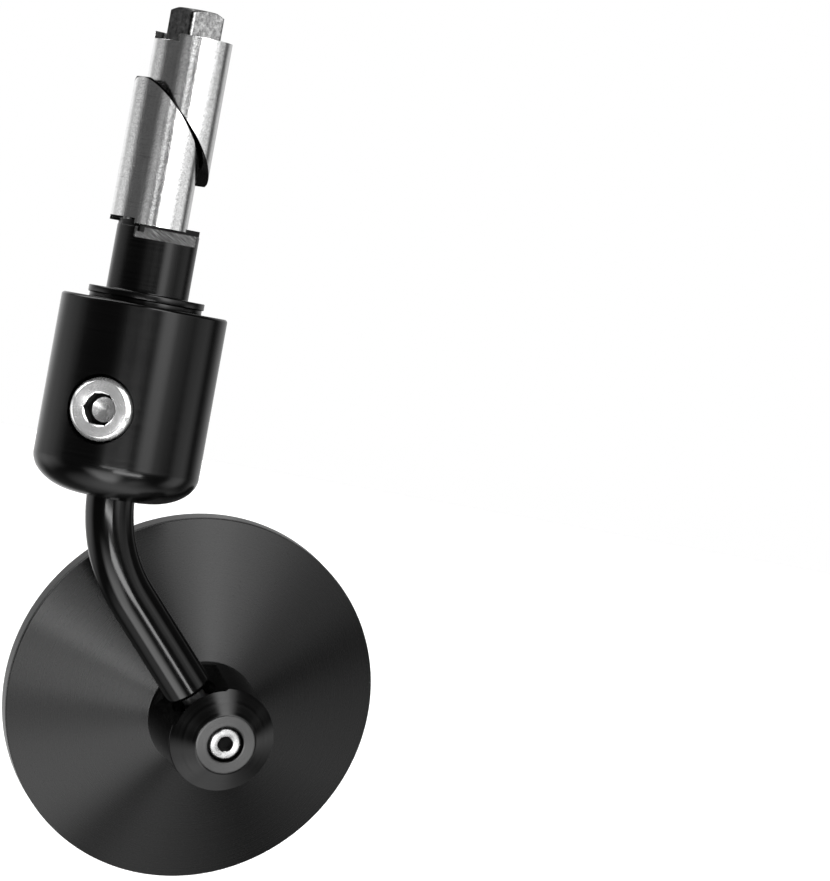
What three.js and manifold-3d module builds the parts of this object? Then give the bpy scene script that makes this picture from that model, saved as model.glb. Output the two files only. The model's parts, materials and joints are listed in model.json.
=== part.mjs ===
// Bar-end bicycle mirror: an expanding wedge fixing, a swivelling body, a bent stem and a
// round mirror head on a ball joint. Millimetres, +Z up. The origin is on the handlebar axis,
// in the face of the flange that the end of the handlebar rests against. +Z points into the
// handlebar, and the stem bends towards +X.
import * as THREE from 'three';
import { mergeVertices } from 'three/addons/utils/BufferGeometryUtils.js';
import Module from 'manifold-3d';

const wasm = await Module();
wasm.setup();

// ---------------------------------------------------------------- driving dimensions
const RUNNING_GAP = 0.06;        // radial clearance of a shaft in its bore
const SEAT_GAP = 0.1;            // clearance between two faces that bear on each other
const OVERCUT = 1;               // how far a cutting tool runs past the face it opens
const CLEARANCE = 0.2;           // extra radius of a hole that a screw passes through
const EDGE_CHAMFER = 0.5;        // broken edge on a turned end
const HEAD_CHAMFER_SHARE = 0.08; // chamfer on a screw's head, as a share of its radius
const TIP_CHAMFER = 0.3;         // chamfer on a screw's end

// Spindle: one turned piece that carries the wedges, the flange and the spigot
const FLANGE_RADIUS = 12;
const FLANGE_THICKNESS = 1.4;
const STUB_RADIUS = 8.5;
const STUB_HEIGHT = 13.3;
const FLATS_HALF_WIDTH = 5.5;
const FLATS_FROM = 11;
const FLATS_AZIMUTH = -11;
const KEY_WIDTH = 8;
const KEY_HEIGHT = 1.15;
const SPIGOT_RADIUS = 7;
const SPIGOT_BOTTOM = -29.4;
const GROOVE_RADIUS = 6.2;
const GROOVE_HALF_WIDTH = 3.7;
const SCREW_WELL_RADIUS = 4.75;
const SCREW_WELL_CEILING = -11.5;
const SCREW_BORE_RADIUS = 2.8;

// Expanding wedges and their draw screw (M5)
const WEDGE_AZIMUTH = 7;         // the direction in which the upper wedge spreads
const WEDGE_RADIUS = 8;
const WEDGE_BORE_RADIUS = 5.6;
const WEDGE_LENGTH = 29.6;
const WEDGE_STACK_BOTTOM = 13.8;
const WEDGE_STACK_TOP = 53.3;
const WEDGE_SLOPE = 1.1;         // fall of the cut for each millimetre sideways
const WEDGE_CUT_HEIGHT = 32.2;   // height of the cut on the handlebar axis
const WEDGE_CUT_GAP = 0.3;
const LOWER_WEDGE_OFFSET = -2.75;
const UPPER_WEDGE_OFFSET = 0.2;
const END_SLOT_WIDTH = 8.8;
const LOWER_SLOT_DEPTH = 0.95;
const UPPER_SLOT_DEPTH = 1.6;
const DRAW_SCREW_RADIUS = 2.5;
const DRAW_SCREW_TOP = 57.6;
const DRAW_SCREW_HEAD_RADIUS = 4.25;
const DRAW_SCREW_HEAD_HEIGHT = 5;
const DRAW_SCREW_SOCKET = 4;
const DRAW_WASHER_THICKNESS = 1;
const NUT_WIDTH = 8.4;
const NUT_HEIGHT = 7.1;
const NUT_CORNER_RADIUS = 0.8;
const NUT_CHAMFER = 1.3;
const NUT_CROWN_INSET = 1.5;

// Body: a cup that turns on the spigot
const BODY_RADIUS = 17.2;
const BODY_TOP = -2.3;
const BODY_BOTTOM = -42.4;
const BODY_EDGE_CHAMFER = 0.4;
const BODY_ROUND_RADIAL = 11;
const BODY_ROUND_AXIAL = 7;
const BODY_FLOOR = -35.4;
const BODY_WEB = 2;
const FRICTION_WASHER_RADIUS = 11.65;
const FRICTION_WASHER_BORE = 7.3;

// Lock screw (M8, low head) and its shoe, in the side of the body
const LOCK_AZIMUTH = 223;
const LOCK_HEIGHT = -24.55;
const LOCK_WELL_RADIUS = 7.15;
const LOCK_WELL_FLOOR = 11.4;
const LOCK_HEAD_RADIUS = 6.5;
const LOCK_HEAD_HEIGHT = 5;
const LOCK_HEAD_FACE = 16.6;
const LOCK_SHANK_RADIUS = 4;
const LOCK_SHANK_END = 9;
const LOCK_SOCKET = 6.2;
const LOCK_SOCKET_DEPTH = 3;
const LOCK_SHOE_RADIUS = 3.4;
const LOCK_SHOE_TIP = 6.35;
const LOCK_SOCKET_TURN = -17;    // sets two corners of the socket level

// Stem: a round bar, bent once
const STEM_RADIUS = 5;
const STEM_TOP = -37.5;
const STEM_BEND_START = -40.15;
const STEM_BEND_RADIUS = 31;
const STEM_BEND_ANGLE = 45;
const STEM_LEG = 24.2;
const STEM_END_CHAMFER = 0.7;
const STEM_STEPS = 20;
const STEM_SOCKET_GAP = 0.25;
const STEM_SCREW_RADIUS = 2.5;
const STEM_SCREW_DEPTH = 8.5;
const STEM_SCREW_HEAD_RADIUS = 4.25;
const STEM_SCREW_HEAD_HEIGHT = 4.2;
const STEM_WASHER_RADIUS = 5.6;
const STEM_WASHER_THICKNESS = 0.9;

// Ball stud and the joint inside the hub. Heights in the head are measured from the ball's
// centre along the hub axis, positive towards the hub screw.
const BALL_RADIUS = 4.5;
const BALL_TO_STEM = 10.8;
const NECK_RADIUS = 2.5;
const STUD_SHANK_RADIUS = 3;
const STUD_SHANK_LENGTH = 11;
const HEAD_TURN = 16.3;          // the head's turn about the stud, from square to the stem's plane
const HUB_BASE = -9.3;
const HUB_BASE_RADIUS = 11.85;
const HUB_EDGE = 6.5;
const HUB_EDGE_RADIUS = 11.25;
const HUB_FACE = 9.95;
const HUB_FACE_RADIUS = 6.45;
const HUB_BORE_RADIUS = 6.7;
const HUB_BORE_TOP = 5.75;
const HUB_FLAT_DISTANCE = 8.8;
const HUB_FLAT_FROM = -7.6;
const HUB_FLAT_TO = 6.9;
const HUB_WINDOW_RADIUS = 5.1;
const HUB_WELL_RADIUS = 3.75;
const HUB_WELL_FLOOR = 6.6;
const HUB_SCREW_RADIUS = 2;
const HUB_SCREW_HEAD_RADIUS = 3.45;
const HUB_SCREW_HEAD_FACE = 9.5;
const HUB_SCREW_HEAD_BOTTOM = 6.75;
const HUB_SCREW_SOCKET = 3;
const HUB_SCREW_SOCKET_DEPTH = 1.7;
const SEAT_RADIUS = 6.5;
const SEAT_TOP = -3.15;
const SEAT_BOTTOM = -8.3;
const SEAT_HOLE_RADIUS = 1.5;
const BALL_CLEARANCE = 0.15;
const PAD_BOTTOM = 3.15;
const PAD_TOP = 4.95;
const SPRING_WASHER_THICKNESS = 0.8;
const SPRING_WASHER_RADIUS = 6.2;
const SPRING_WASHER_BORE = 3;
const SPRING_WASHER_DISH = 0.3;

// Mirror head: the lip of the bezel is this far in front of the ball
const LIP_FACE = -24.1;
const RIM_RADIUS = 40;
const BEZEL_DEPTH = 3.6;
const BEZEL_LIP_RADIUS = 37.5;
const BEZEL_LIP_THICKNESS = 1.4;
const BEZEL_POCKET_RADIUS = 38.8;
const BEZEL_INNER_CHAMFER = 0.5;
const BEZEL_OUTER_CHAMFER = 0.3;
const RIM_DEPTH = 4.3;
const SHELL_THICKNESS = 1.7;
const SHELL_SPIGOT_RADIUS = 38.5;
const SHELL_SPIGOT_DEPTH = 0.9;
const SHELL_SPIGOT_WALL = 1.6;
const SHELL_CENTRE_HOLE = 3.2;
const GLASS_RADIUS = 38.3;
const GLASS_THICKNESS = 1.2;
const GLASS_RECESS = 1.5;
const GLASS_CURVE_RADIUS = 1200;
const PAD_DISC_RADIUS = 33;
const PAD_DISC_THICKNESS = 1.2;
const HOUSING_SCREWS = 3;
const HOUSING_SCREW_CIRCLE = 9.2;
const HOUSING_SCREW_FIRST = 60;   // direction of the first screw, in degrees from the stem
const HOUSING_SCREW_HOLE_DEPTH = 3.6;
const HOUSING_SCREW_RADIUS = 1.25;
const HOUSING_SCREW_HEAD_RADIUS = 2.2;
const HOUSING_SCREW_HEAD_HEIGHT = 1.6;
const HOUSING_SCREW_LENGTH = 4.5;
const HOUSING_SCREW_SOCKET = 1.5;

// Facets around a full turn
const FINE = 60;
const MEDIUM = 36;
const COARSE = 24;
const SMALL = 16;

// ---------------------------------------------------------------- materials
function finish(color, roughness, metalness) {
  return new THREE.MeshStandardMaterial({ color, roughness, metalness });
}

const blackAnodised = () => finish(0x17181a, 0.34, 0.85);
const polishedCasting = () => finish(0xd9dadb, 0.24, 1);
const brightSteel = () => finish(0xc9cbce, 0.22, 1);
const darkSteel = () => finish(0x55585c, 0.4, 1);
const brass = () => finish(0xb08d45, 0.35, 1);
const whiteNylon = () => finish(0xe6e3da, 0.55, 0);
const silveredGlass = () => finish(0xeef1f3, 0.04, 1);
const greyFoam = () => finish(0x4a4b4d, 0.95, 0);

// ---------------------------------------------------------------- solids
const radians = THREE.MathUtils.degToRad;
const WELD_DISTANCE = 1e-4;

function toSolid(geometry) {
  geometry.deleteAttribute('normal');
  geometry.deleteAttribute('uv');
  const merged = mergeVertices(geometry, WELD_DISTANCE);
  return new wasm.Manifold(new wasm.Mesh({
    numProp: 3,
    vertProperties: new Float32Array(merged.attributes.position.array),
    triVerts: new Uint32Array(merged.index.array),
  }));
}

function toGeometry(solid) {
  const mesh = solid.getMesh();
  const geometry = new THREE.BufferGeometry();
  geometry.setAttribute('position', new THREE.BufferAttribute(mesh.vertProperties, 3));
  geometry.setIndex(new THREE.BufferAttribute(mesh.triVerts, 1));
  geometry.computeVertexNormals();
  return geometry;
}

// A round solid about Z from its outline, as [radius, height] points in order upwards along
// the outside.
function revolve(outline, facets) {
  const points = outline.map(([radius, height]) => new THREE.Vector2(radius, height));
  const geometry = new THREE.LatheGeometry(points, facets);
  geometry.rotateX(Math.PI / 2);
  return toSolid(geometry);
}

// A ring about Z whose outline closes on itself.
function revolveRing(outline, facets) {
  return revolve([...outline, outline[0]], facets);
}

function rod(radius, bottom, top, facets) {
  return revolve([[0, bottom], [radius, bottom], [radius, top], [0, top]], facets);
}

function tube(innerRadius, outerRadius, bottom, top, facets) {
  const outline = [[innerRadius, bottom], [outerRadius, bottom], [outerRadius, top], [innerRadius, top]];
  return revolveRing(outline, facets);
}

function block(width, depth, bottom, top) {
  const geometry = new THREE.BoxGeometry(width, depth, top - bottom);
  geometry.translate(0, 0, (top + bottom) / 2);
  return toSolid(geometry);
}

function hexPrism(acrossFlats, bottom, top) {
  return rod(acrossFlats / Math.sqrt(3), bottom, top, 6);
}

// Points of an elliptical arc, in degrees anticlockwise from the radial direction.
function arc(centreRadius, centreHeight, radial, axial, from, to, steps) {
  const points = [];
  for (let i = 0; i <= steps; i += 1) {
    const angle = radians(from + ((to - from) * i) / steps);
    points.push([centreRadius + radial * Math.cos(angle), centreHeight + axial * Math.sin(angle)]);
  }
  return points;
}

// Moves a solid that was made about Z to a new place: its Z turns to the given direction.
function aim(solid, position, direction) {
  const turn = new THREE.Quaternion().setFromUnitVectors(new THREE.Vector3(0, 0, 1), direction);
  const matrix = new THREE.Matrix4().compose(position, turn, new THREE.Vector3(1, 1, 1));
  return solid.transform(matrix.elements);
}

function turnAboutZ(solid, degrees) {
  return solid.rotate([0, 0, degrees]);
}

// A socket head cap screw with its head upwards, the top of the head at height 0 and a hexagon
// socket sunk into it.
function capScrew({
  headRadius, headHeight, shankRadius, shankLength, socket, socketDepth, facets = COARSE,
}) {
  const chamfer = headRadius * HEAD_CHAMFER_SHARE;
  const outline = [
    [0, -headHeight - shankLength],
    [shankRadius - TIP_CHAMFER, -headHeight - shankLength],
    [shankRadius, -headHeight - shankLength + TIP_CHAMFER],
    [shankRadius, -headHeight],
    [headRadius, -headHeight],
    [headRadius, -chamfer],
    [headRadius - chamfer, 0],
    [0, 0],
  ];
  return revolve(outline, facets).subtract(hexPrism(socket, -socketDepth, OVERCUT));
}

// ---------------------------------------------------------------- frames
const bend = radians(STEM_BEND_ANGLE);
const legDirection = new THREE.Vector3(Math.sin(bend), 0, -Math.cos(bend));
const bendEnd = new THREE.Vector3(
  STEM_BEND_RADIUS * (1 - Math.cos(bend)),
  0,
  STEM_BEND_START - STEM_BEND_RADIUS * Math.sin(bend),
);
const stemEnd = bendEnd.clone().addScaledVector(legDirection, STEM_LEG);
const ballCentre = stemEnd.clone().addScaledVector(legDirection, BALL_TO_STEM);
const lockDirection = new THREE.Vector3(Math.cos(radians(LOCK_AZIMUTH)), Math.sin(radians(LOCK_AZIMUTH)), 0);
const lockOnAxis = new THREE.Vector3(0, 0, LOCK_HEIGHT);

// The head's own frame: Z along the hub axis towards the hub screw, X back up the stem.
function headFrame() {
  const up = legDirection.clone().negate();
  const square = new THREE.Vector3(0, -1, 0);
  const hubAxis = square.applyAxisAngle(legDirection, radians(HEAD_TURN));
  const side = new THREE.Vector3().crossVectors(hubAxis, up);
  return new THREE.Matrix4().makeBasis(up, side, hubAxis).setPosition(ballCentre);
}

// ---------------------------------------------------------------- wedge fixing
function spindle() {
  const outline = [
    [0, SPIGOT_BOTTOM],
    [SPIGOT_RADIUS - EDGE_CHAMFER, SPIGOT_BOTTOM],
    [SPIGOT_RADIUS, SPIGOT_BOTTOM + EDGE_CHAMFER],
    [SPIGOT_RADIUS, LOCK_HEIGHT - GROOVE_HALF_WIDTH],
    [GROOVE_RADIUS, LOCK_HEIGHT - GROOVE_HALF_WIDTH],
    [GROOVE_RADIUS, LOCK_HEIGHT + GROOVE_HALF_WIDTH],
    [SPIGOT_RADIUS, LOCK_HEIGHT + GROOVE_HALF_WIDTH],
    [SPIGOT_RADIUS, -FLANGE_THICKNESS],
    [FLANGE_RADIUS, -FLANGE_THICKNESS],
    [FLANGE_RADIUS, 0],
    [STUB_RADIUS, 0],
    [STUB_RADIUS, STUB_HEIGHT],
    [0, STUB_HEIGHT],
  ];
  const width = 2 * (STUB_RADIUS + OVERCUT);
  const keyTop = STUB_HEIGHT + KEY_HEIGHT;
  const above = keyTop + OVERCUT;
  const tongue = turnAboutZ(block(width, 2 * FLATS_HALF_WIDTH, FLATS_FROM, above), FLATS_AZIMUTH);
  const besideTongue = block(width, width, FLATS_FROM, above).subtract(tongue);
  const key = turnAboutZ(block(width, KEY_WIDTH, STUB_HEIGHT - OVERCUT, keyTop), WEDGE_AZIMUTH)
    .intersect(rod(STUB_RADIUS, 0, keyTop, MEDIUM));
  return revolve(outline, MEDIUM)
    .add(key)
    .subtract(besideTongue)
    .subtract(rod(SCREW_BORE_RADIUS, SPIGOT_BOTTOM - OVERCUT, above, COARSE))
    .subtract(rod(SCREW_WELL_RADIUS, SPIGOT_BOTTOM - OVERCUT, SCREW_WELL_CEILING, COARSE));
}

// Half of the stack, on one side of the sloping cut. side is +1 above the cut and -1 below it.
function wedgeHalfSpace(side) {
  const size = 3 * WEDGE_STACK_TOP;
  const slope = Math.atan(WEDGE_SLOPE);
  const gap = (side * WEDGE_CUT_GAP) / 2;
  const geometry = new THREE.BoxGeometry(size, size, size);
  geometry.translate(0, 0, side * (size / 2) + gap);
  geometry.rotateY(slope);
  geometry.translate(0, 0, WEDGE_CUT_HEIGHT);
  return toSolid(geometry);
}

function wedge(side, offset, bottom, top, slotFrom, slotTo) {
  const slot = block(4 * WEDGE_RADIUS, END_SLOT_WIDTH, slotFrom, slotTo);
  const bar = tube(WEDGE_BORE_RADIUS, WEDGE_RADIUS, bottom, top, MEDIUM)
    .translate([offset, 0, 0])
    .intersect(wedgeHalfSpace(side))
    .subtract(slot);
  return turnAboutZ(bar, WEDGE_AZIMUTH);
}

function lowerWedge() {
  const slotTop = WEDGE_STACK_BOTTOM + LOWER_SLOT_DEPTH;
  const top = WEDGE_STACK_BOTTOM + WEDGE_LENGTH;
  return wedge(-1, LOWER_WEDGE_OFFSET, WEDGE_STACK_BOTTOM, top, WEDGE_STACK_BOTTOM - OVERCUT, slotTop);
}

function upperWedge() {
  const slotBottom = WEDGE_STACK_TOP - UPPER_SLOT_DEPTH;
  const bottom = WEDGE_STACK_TOP - WEDGE_LENGTH;
  return wedge(1, UPPER_WEDGE_OFFSET, bottom, WEDGE_STACK_TOP, slotBottom, WEDGE_STACK_TOP + OVERCUT);
}

// A square nut with rounded corners and a chamfered top.
function drawNut() {
  const half = NUT_WIDTH / 2 - NUT_CORNER_RADIUS;
  const outline = new THREE.Shape();
  [45, 135, 225, 315].forEach((corner) => {
    const x = half * Math.sign(Math.cos(radians(corner)));
    const y = half * Math.sign(Math.sin(radians(corner)));
    outline.absarc(x, y, NUT_CORNER_RADIUS, radians(corner - 45), radians(corner + 45), false);
  });
  const bottom = WEDGE_STACK_TOP - UPPER_SLOT_DEPTH + SEAT_GAP;
  const prism = new THREE.ExtrudeGeometry(outline, {
    depth: NUT_HEIGHT,
    bevelEnabled: false,
    curveSegments: 5,
  });
  prism.translate(0, 0, bottom);
  const cornerReach = Math.SQRT2 * half + NUT_CORNER_RADIUS;
  const top = bottom + NUT_HEIGHT;
  const cone = revolve([
    [0, bottom - OVERCUT],
    [cornerReach + OVERCUT, bottom - OVERCUT],
    [cornerReach + OVERCUT, top - NUT_CHAMFER],
    [cornerReach - NUT_CROWN_INSET, top],
    [0, top],
  ], MEDIUM);
  const nut = toSolid(prism)
    .intersect(cone)
    .subtract(rod(DRAW_SCREW_RADIUS + RUNNING_GAP, bottom - OVERCUT, top + OVERCUT, COARSE));
  return turnAboutZ(nut, WEDGE_AZIMUTH);
}

// The draw screw hangs head down: its head is in the spindle and its end is in the nut.
function drawScrew() {
  const headTop = SCREW_WELL_CEILING - DRAW_WASHER_THICKNESS - 2 * SEAT_GAP;
  const head = headTop - DRAW_SCREW_HEAD_HEIGHT;
  const screw = capScrew({
    headRadius: DRAW_SCREW_HEAD_RADIUS,
    headHeight: DRAW_SCREW_HEAD_HEIGHT,
    shankRadius: DRAW_SCREW_RADIUS,
    shankLength: DRAW_SCREW_TOP - headTop,
    socket: DRAW_SCREW_SOCKET,
    socketDepth: DRAW_SCREW_HEAD_HEIGHT / 2,
  });
  return aim(screw, new THREE.Vector3(0, 0, head), new THREE.Vector3(0, 0, -1));
}

function drawScrewWasher() {
  const top = SCREW_WELL_CEILING - SEAT_GAP;
  return tube(SCREW_BORE_RADIUS, DRAW_SCREW_HEAD_RADIUS + 0.25, top - DRAW_WASHER_THICKNESS, top, COARSE);
}

// ---------------------------------------------------------------- body, lock and stem
function body() {
  const roundCentre = BODY_RADIUS - BODY_ROUND_RADIAL;
  const outline = [
    [0, BODY_BOTTOM],
    ...arc(roundCentre, BODY_BOTTOM + BODY_ROUND_AXIAL, BODY_ROUND_RADIAL, BODY_ROUND_AXIAL, -90, 0, 7),
    [BODY_RADIUS, BODY_TOP - BODY_EDGE_CHAMFER],
    [BODY_RADIUS - BODY_EDGE_CHAMFER, BODY_TOP],
    [SPIGOT_RADIUS + RUNNING_GAP, BODY_TOP],
    [SPIGOT_RADIUS + RUNNING_GAP, BODY_FLOOR],
    [0, BODY_FLOOR],
  ];
  const outside = BODY_RADIUS + OVERCUT;
  const well = aim(rod(LOCK_WELL_RADIUS, LOCK_WELL_FLOOR, outside, COARSE), lockOnAxis, lockDirection);
  const lockHoleRadius = LOCK_SHANK_RADIUS + RUNNING_GAP;
  const lockHole = aim(rod(lockHoleRadius, 0, outside, COARSE), lockOnAxis, lockDirection);
  const stemSocket = rod(STEM_RADIUS + STEM_SOCKET_GAP, BODY_BOTTOM - OVERCUT, BODY_FLOOR - BODY_WEB, COARSE);
  const screwHole = rod(STEM_SCREW_RADIUS + CLEARANCE, BODY_BOTTOM, BODY_FLOOR + OVERCUT, COARSE);
  return revolve(outline, FINE)
    .subtract(well)
    .subtract(lockHole)
    .subtract(stemSocket)
    .subtract(screwHole);
}

function frictionWasher() {
  const top = -FLANGE_THICKNESS - SEAT_GAP / 2;
  return tube(FRICTION_WASHER_BORE, FRICTION_WASHER_RADIUS, BODY_TOP + SEAT_GAP / 2, top, MEDIUM);
}

function lockScrew() {
  const screw = capScrew({
    headRadius: LOCK_HEAD_RADIUS,
    headHeight: LOCK_HEAD_HEIGHT,
    shankRadius: LOCK_SHANK_RADIUS,
    shankLength: LOCK_HEAD_FACE - LOCK_HEAD_HEIGHT - LOCK_SHANK_END,
    socket: LOCK_SOCKET,
    socketDepth: LOCK_SOCKET_DEPTH,
  });
  const face = lockOnAxis.clone().addScaledVector(lockDirection, LOCK_HEAD_FACE);
  return aim(turnAboutZ(screw, LOCK_SOCKET_TURN), face, lockDirection);
}

function lockShoe() {
  const slug = revolve([
    [0, LOCK_SHOE_TIP],
    [LOCK_SHOE_RADIUS - EDGE_CHAMFER, LOCK_SHOE_TIP],
    [LOCK_SHOE_RADIUS, LOCK_SHOE_TIP + EDGE_CHAMFER],
    [LOCK_SHOE_RADIUS, LOCK_SHANK_END - SEAT_GAP],
    [0, LOCK_SHANK_END - SEAT_GAP],
  ], COARSE);
  return aim(slug, lockOnAxis, lockDirection);
}

// The centre line of the stem: straight, one bend in the XZ plane, straight again.
class StemLine extends THREE.Curve {
  getPoint(t, target = new THREE.Vector3()) {
    const straight = STEM_TOP - STEM_BEND_START;
    const arcLength = STEM_BEND_RADIUS * bend;
    const distance = t * (straight + arcLength + STEM_LEG);
    if (distance < straight) {
      return target.set(0, 0, STEM_TOP - distance);
    }
    if (distance > straight + arcLength) {
      return target.copy(bendEnd).addScaledVector(legDirection, distance - straight - arcLength);
    }
    const angle = (distance - straight) / STEM_BEND_RADIUS;
    const x = STEM_BEND_RADIUS * (1 - Math.cos(angle));
    return target.set(x, 0, STEM_BEND_START - STEM_BEND_RADIUS * Math.sin(angle));
  }
}

function stem() {
  const section = new THREE.Shape().absarc(0, 0, STEM_RADIUS, 0, 2 * Math.PI, false);
  const line = new StemLine();
  const bar = new THREE.ExtrudeGeometry(section, {
    steps: STEM_STEPS,
    curveSegments: COARSE / 2,
    extrudePath: line,
  });
  const chamferTool = aim(revolveRing([
    [STEM_RADIUS - STEM_END_CHAMFER, 0],
    [STEM_RADIUS + OVERCUT, -STEM_END_CHAMFER - OVERCUT],
    [STEM_RADIUS + OVERCUT, OVERCUT],
    [STEM_RADIUS - STEM_END_CHAMFER - OVERCUT, OVERCUT],
  ], COARSE), stemEnd, legDirection);
  const studHole = aim(
    rod(STUD_SHANK_RADIUS + RUNNING_GAP, -STUD_SHANK_LENGTH - OVERCUT, OVERCUT, COARSE),
    stemEnd,
    legDirection,
  );
  const screwHoleFloor = STEM_TOP - STEM_SCREW_DEPTH;
  const screwHole = rod(STEM_SCREW_RADIUS + RUNNING_GAP, screwHoleFloor, STEM_TOP + OVERCUT, COARSE);
  return toSolid(bar).subtract(chamferTool).subtract(studHole).subtract(screwHole);
}

function stemWasher() {
  const bottom = BODY_FLOOR + SEAT_GAP;
  const top = bottom + STEM_WASHER_THICKNESS;
  return tube(STEM_SCREW_RADIUS + CLEARANCE, STEM_WASHER_RADIUS, bottom, top, SMALL);
}

function stemScrew() {
  const headBottom = BODY_FLOOR + STEM_WASHER_THICKNESS + 2 * SEAT_GAP;
  const screw = capScrew({
    headRadius: STEM_SCREW_HEAD_RADIUS,
    headHeight: STEM_SCREW_HEAD_HEIGHT,
    shankRadius: STEM_SCREW_RADIUS,
    shankLength: headBottom - STEM_TOP + STEM_SCREW_DEPTH - EDGE_CHAMFER,
    socket: DRAW_SCREW_SOCKET,
    socketDepth: STEM_SCREW_HEAD_HEIGHT / 2,
    facets: SMALL,
  });
  return screw.translate([0, 0, headBottom + STEM_SCREW_HEAD_HEIGHT]);
}

// ---------------------------------------------------------------- ball joint, in the head's frame
// The stud lies along -X to +X: the ball at the origin, the shank up the stem.
function ballStud() {
  const neckStart = Math.sqrt(BALL_RADIUS ** 2 - NECK_RADIUS ** 2);
  const neckAngle = THREE.MathUtils.radToDeg(Math.asin(neckStart / BALL_RADIUS));
  const shankStart = BALL_TO_STEM - SEAT_GAP;
  const outline = [
    ...arc(0, 0, BALL_RADIUS, BALL_RADIUS, -90, neckAngle, 8),
    [NECK_RADIUS, shankStart],
    [STUD_SHANK_RADIUS, shankStart],
    [STUD_SHANK_RADIUS, BALL_TO_STEM + STUD_SHANK_LENGTH],
    [0, BALL_TO_STEM + STUD_SHANK_LENGTH],
  ];
  outline[0] = [0, -BALL_RADIUS];
  return aim(revolve(outline, COARSE), new THREE.Vector3(), new THREE.Vector3(1, 0, 0));
}

function ball(radius) {
  const middle = arc(0, 0, radius, radius, -72, 72, 8);
  return revolve([[0, -radius], ...middle, [0, radius]], COARSE);
}

function ballSeat() {
  return rod(SEAT_RADIUS, SEAT_BOTTOM, SEAT_TOP, COARSE)
    .subtract(ball(BALL_RADIUS + BALL_CLEARANCE))
    .subtract(rod(SEAT_HOLE_RADIUS, SEAT_BOTTOM - OVERCUT, 0, COARSE));
}

function pressurePad() {
  return rod(SEAT_RADIUS - SEAT_GAP, PAD_BOTTOM, PAD_TOP, COARSE)
    .subtract(ball(BALL_RADIUS + BALL_CLEARANCE));
}

function springWasher() {
  const top = SEAT_BOTTOM - SEAT_GAP;
  const bottom = top - SPRING_WASHER_THICKNESS;
  return revolveRing([
    [SPRING_WASHER_BORE, bottom + SPRING_WASHER_DISH],
    [SPRING_WASHER_RADIUS, bottom],
    [SPRING_WASHER_RADIUS, top - SPRING_WASHER_DISH],
    [SPRING_WASHER_BORE, top],
  ], COARSE);
}

// The solid with a hole for each housing screw.
function drilled(solid, radius, bottom, top) {
  return housingScrewPlaces().reduce(
    (rest, [x, y]) => rest.subtract(rod(radius, bottom, top, SMALL).translate([x, y, 0])),
    solid,
  );
}

function hub() {
  const outline = [
    [HUB_BORE_RADIUS, HUB_BASE],
    [HUB_BASE_RADIUS, HUB_BASE],
    [HUB_EDGE_RADIUS, HUB_EDGE],
    [HUB_FACE_RADIUS, HUB_FACE],
    [0, HUB_FACE],
    [0, HUB_BORE_TOP],
    [HUB_BORE_RADIUS, HUB_BORE_TOP],
  ];
  const flatWidth = 4 * HUB_BASE_RADIUS;
  const flat = block(flatWidth, flatWidth, HUB_FLAT_FROM, HUB_FLAT_TO)
    .translate([HUB_FLAT_DISTANCE + flatWidth / 2, 0, 0]);
  const towardsStem = new THREE.Vector3(1, 0, 0);
  const windowEnd = HUB_BASE_RADIUS + OVERCUT;
  const window = aim(rod(HUB_WINDOW_RADIUS, 0, windowEnd, COARSE), new THREE.Vector3(), towardsStem);
  const well = rod(HUB_WELL_RADIUS, HUB_WELL_FLOOR, HUB_FACE + OVERCUT, COARSE);
  const screwHole = rod(HUB_SCREW_RADIUS + RUNNING_GAP, 0, HUB_FACE, COARSE);
  const blank = revolveRing(outline, MEDIUM)
    .subtract(flat)
    .subtract(window)
    .subtract(well)
    .subtract(screwHole);
  const holeTop = HUB_BASE + HOUSING_SCREW_HOLE_DEPTH;
  return drilled(blank, HOUSING_SCREW_RADIUS + RUNNING_GAP, HUB_BASE - OVERCUT, holeTop);
}

function hubScrew() {
  return capScrew({
    headRadius: HUB_SCREW_HEAD_RADIUS,
    headHeight: HUB_SCREW_HEAD_FACE - HUB_SCREW_HEAD_BOTTOM,
    shankRadius: HUB_SCREW_RADIUS,
    shankLength: HUB_SCREW_HEAD_BOTTOM - PAD_TOP - SEAT_GAP,
    socket: HUB_SCREW_SOCKET,
    socketDepth: HUB_SCREW_SOCKET_DEPTH,
  }).translate([0, 0, HUB_SCREW_HEAD_FACE]);
}

// ---------------------------------------------------------------- mirror, in the head's frame
function housingScrewPlaces() {
  const places = [];
  for (let i = 0; i < HOUSING_SCREWS; i += 1) {
    const angle = radians(HOUSING_SCREW_FIRST + (360 * i) / HOUSING_SCREWS);
    places.push([HOUSING_SCREW_CIRCLE * Math.cos(angle), HOUSING_SCREW_CIRCLE * Math.sin(angle)]);
  }
  return places;
}

// The conical back shell: a rim, a cone and a flat centre that the hub stands on.
function mirrorHousing() {
  const rimBack = LIP_FACE + RIM_DEPTH;
  const rimFront = LIP_FACE + BEZEL_DEPTH + SEAT_GAP;
  const centre = HUB_BASE - SEAT_GAP;
  const spigotInner = SHELL_SPIGOT_RADIUS - SHELL_SPIGOT_WALL;
  const inside = centre - SHELL_THICKNESS;
  const outline = [
    [SHELL_CENTRE_HOLE, inside],
    [HUB_BASE_RADIUS - EDGE_CHAMFER, inside],
    [spigotInner, rimFront + CLEARANCE],
    [spigotInner, rimFront - SHELL_SPIGOT_DEPTH],
    [SHELL_SPIGOT_RADIUS, rimFront - SHELL_SPIGOT_DEPTH],
    [SHELL_SPIGOT_RADIUS, rimFront],
    [RIM_RADIUS, rimFront],
    [RIM_RADIUS, rimBack],
    [HUB_BASE_RADIUS, centre],
    [SHELL_CENTRE_HOLE, centre],
  ];
  const holeRadius = HOUSING_SCREW_RADIUS + CLEARANCE;
  return drilled(revolveRing(outline, FINE), holeRadius, inside - OVERCUT, centre + OVERCUT);
}

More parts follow.
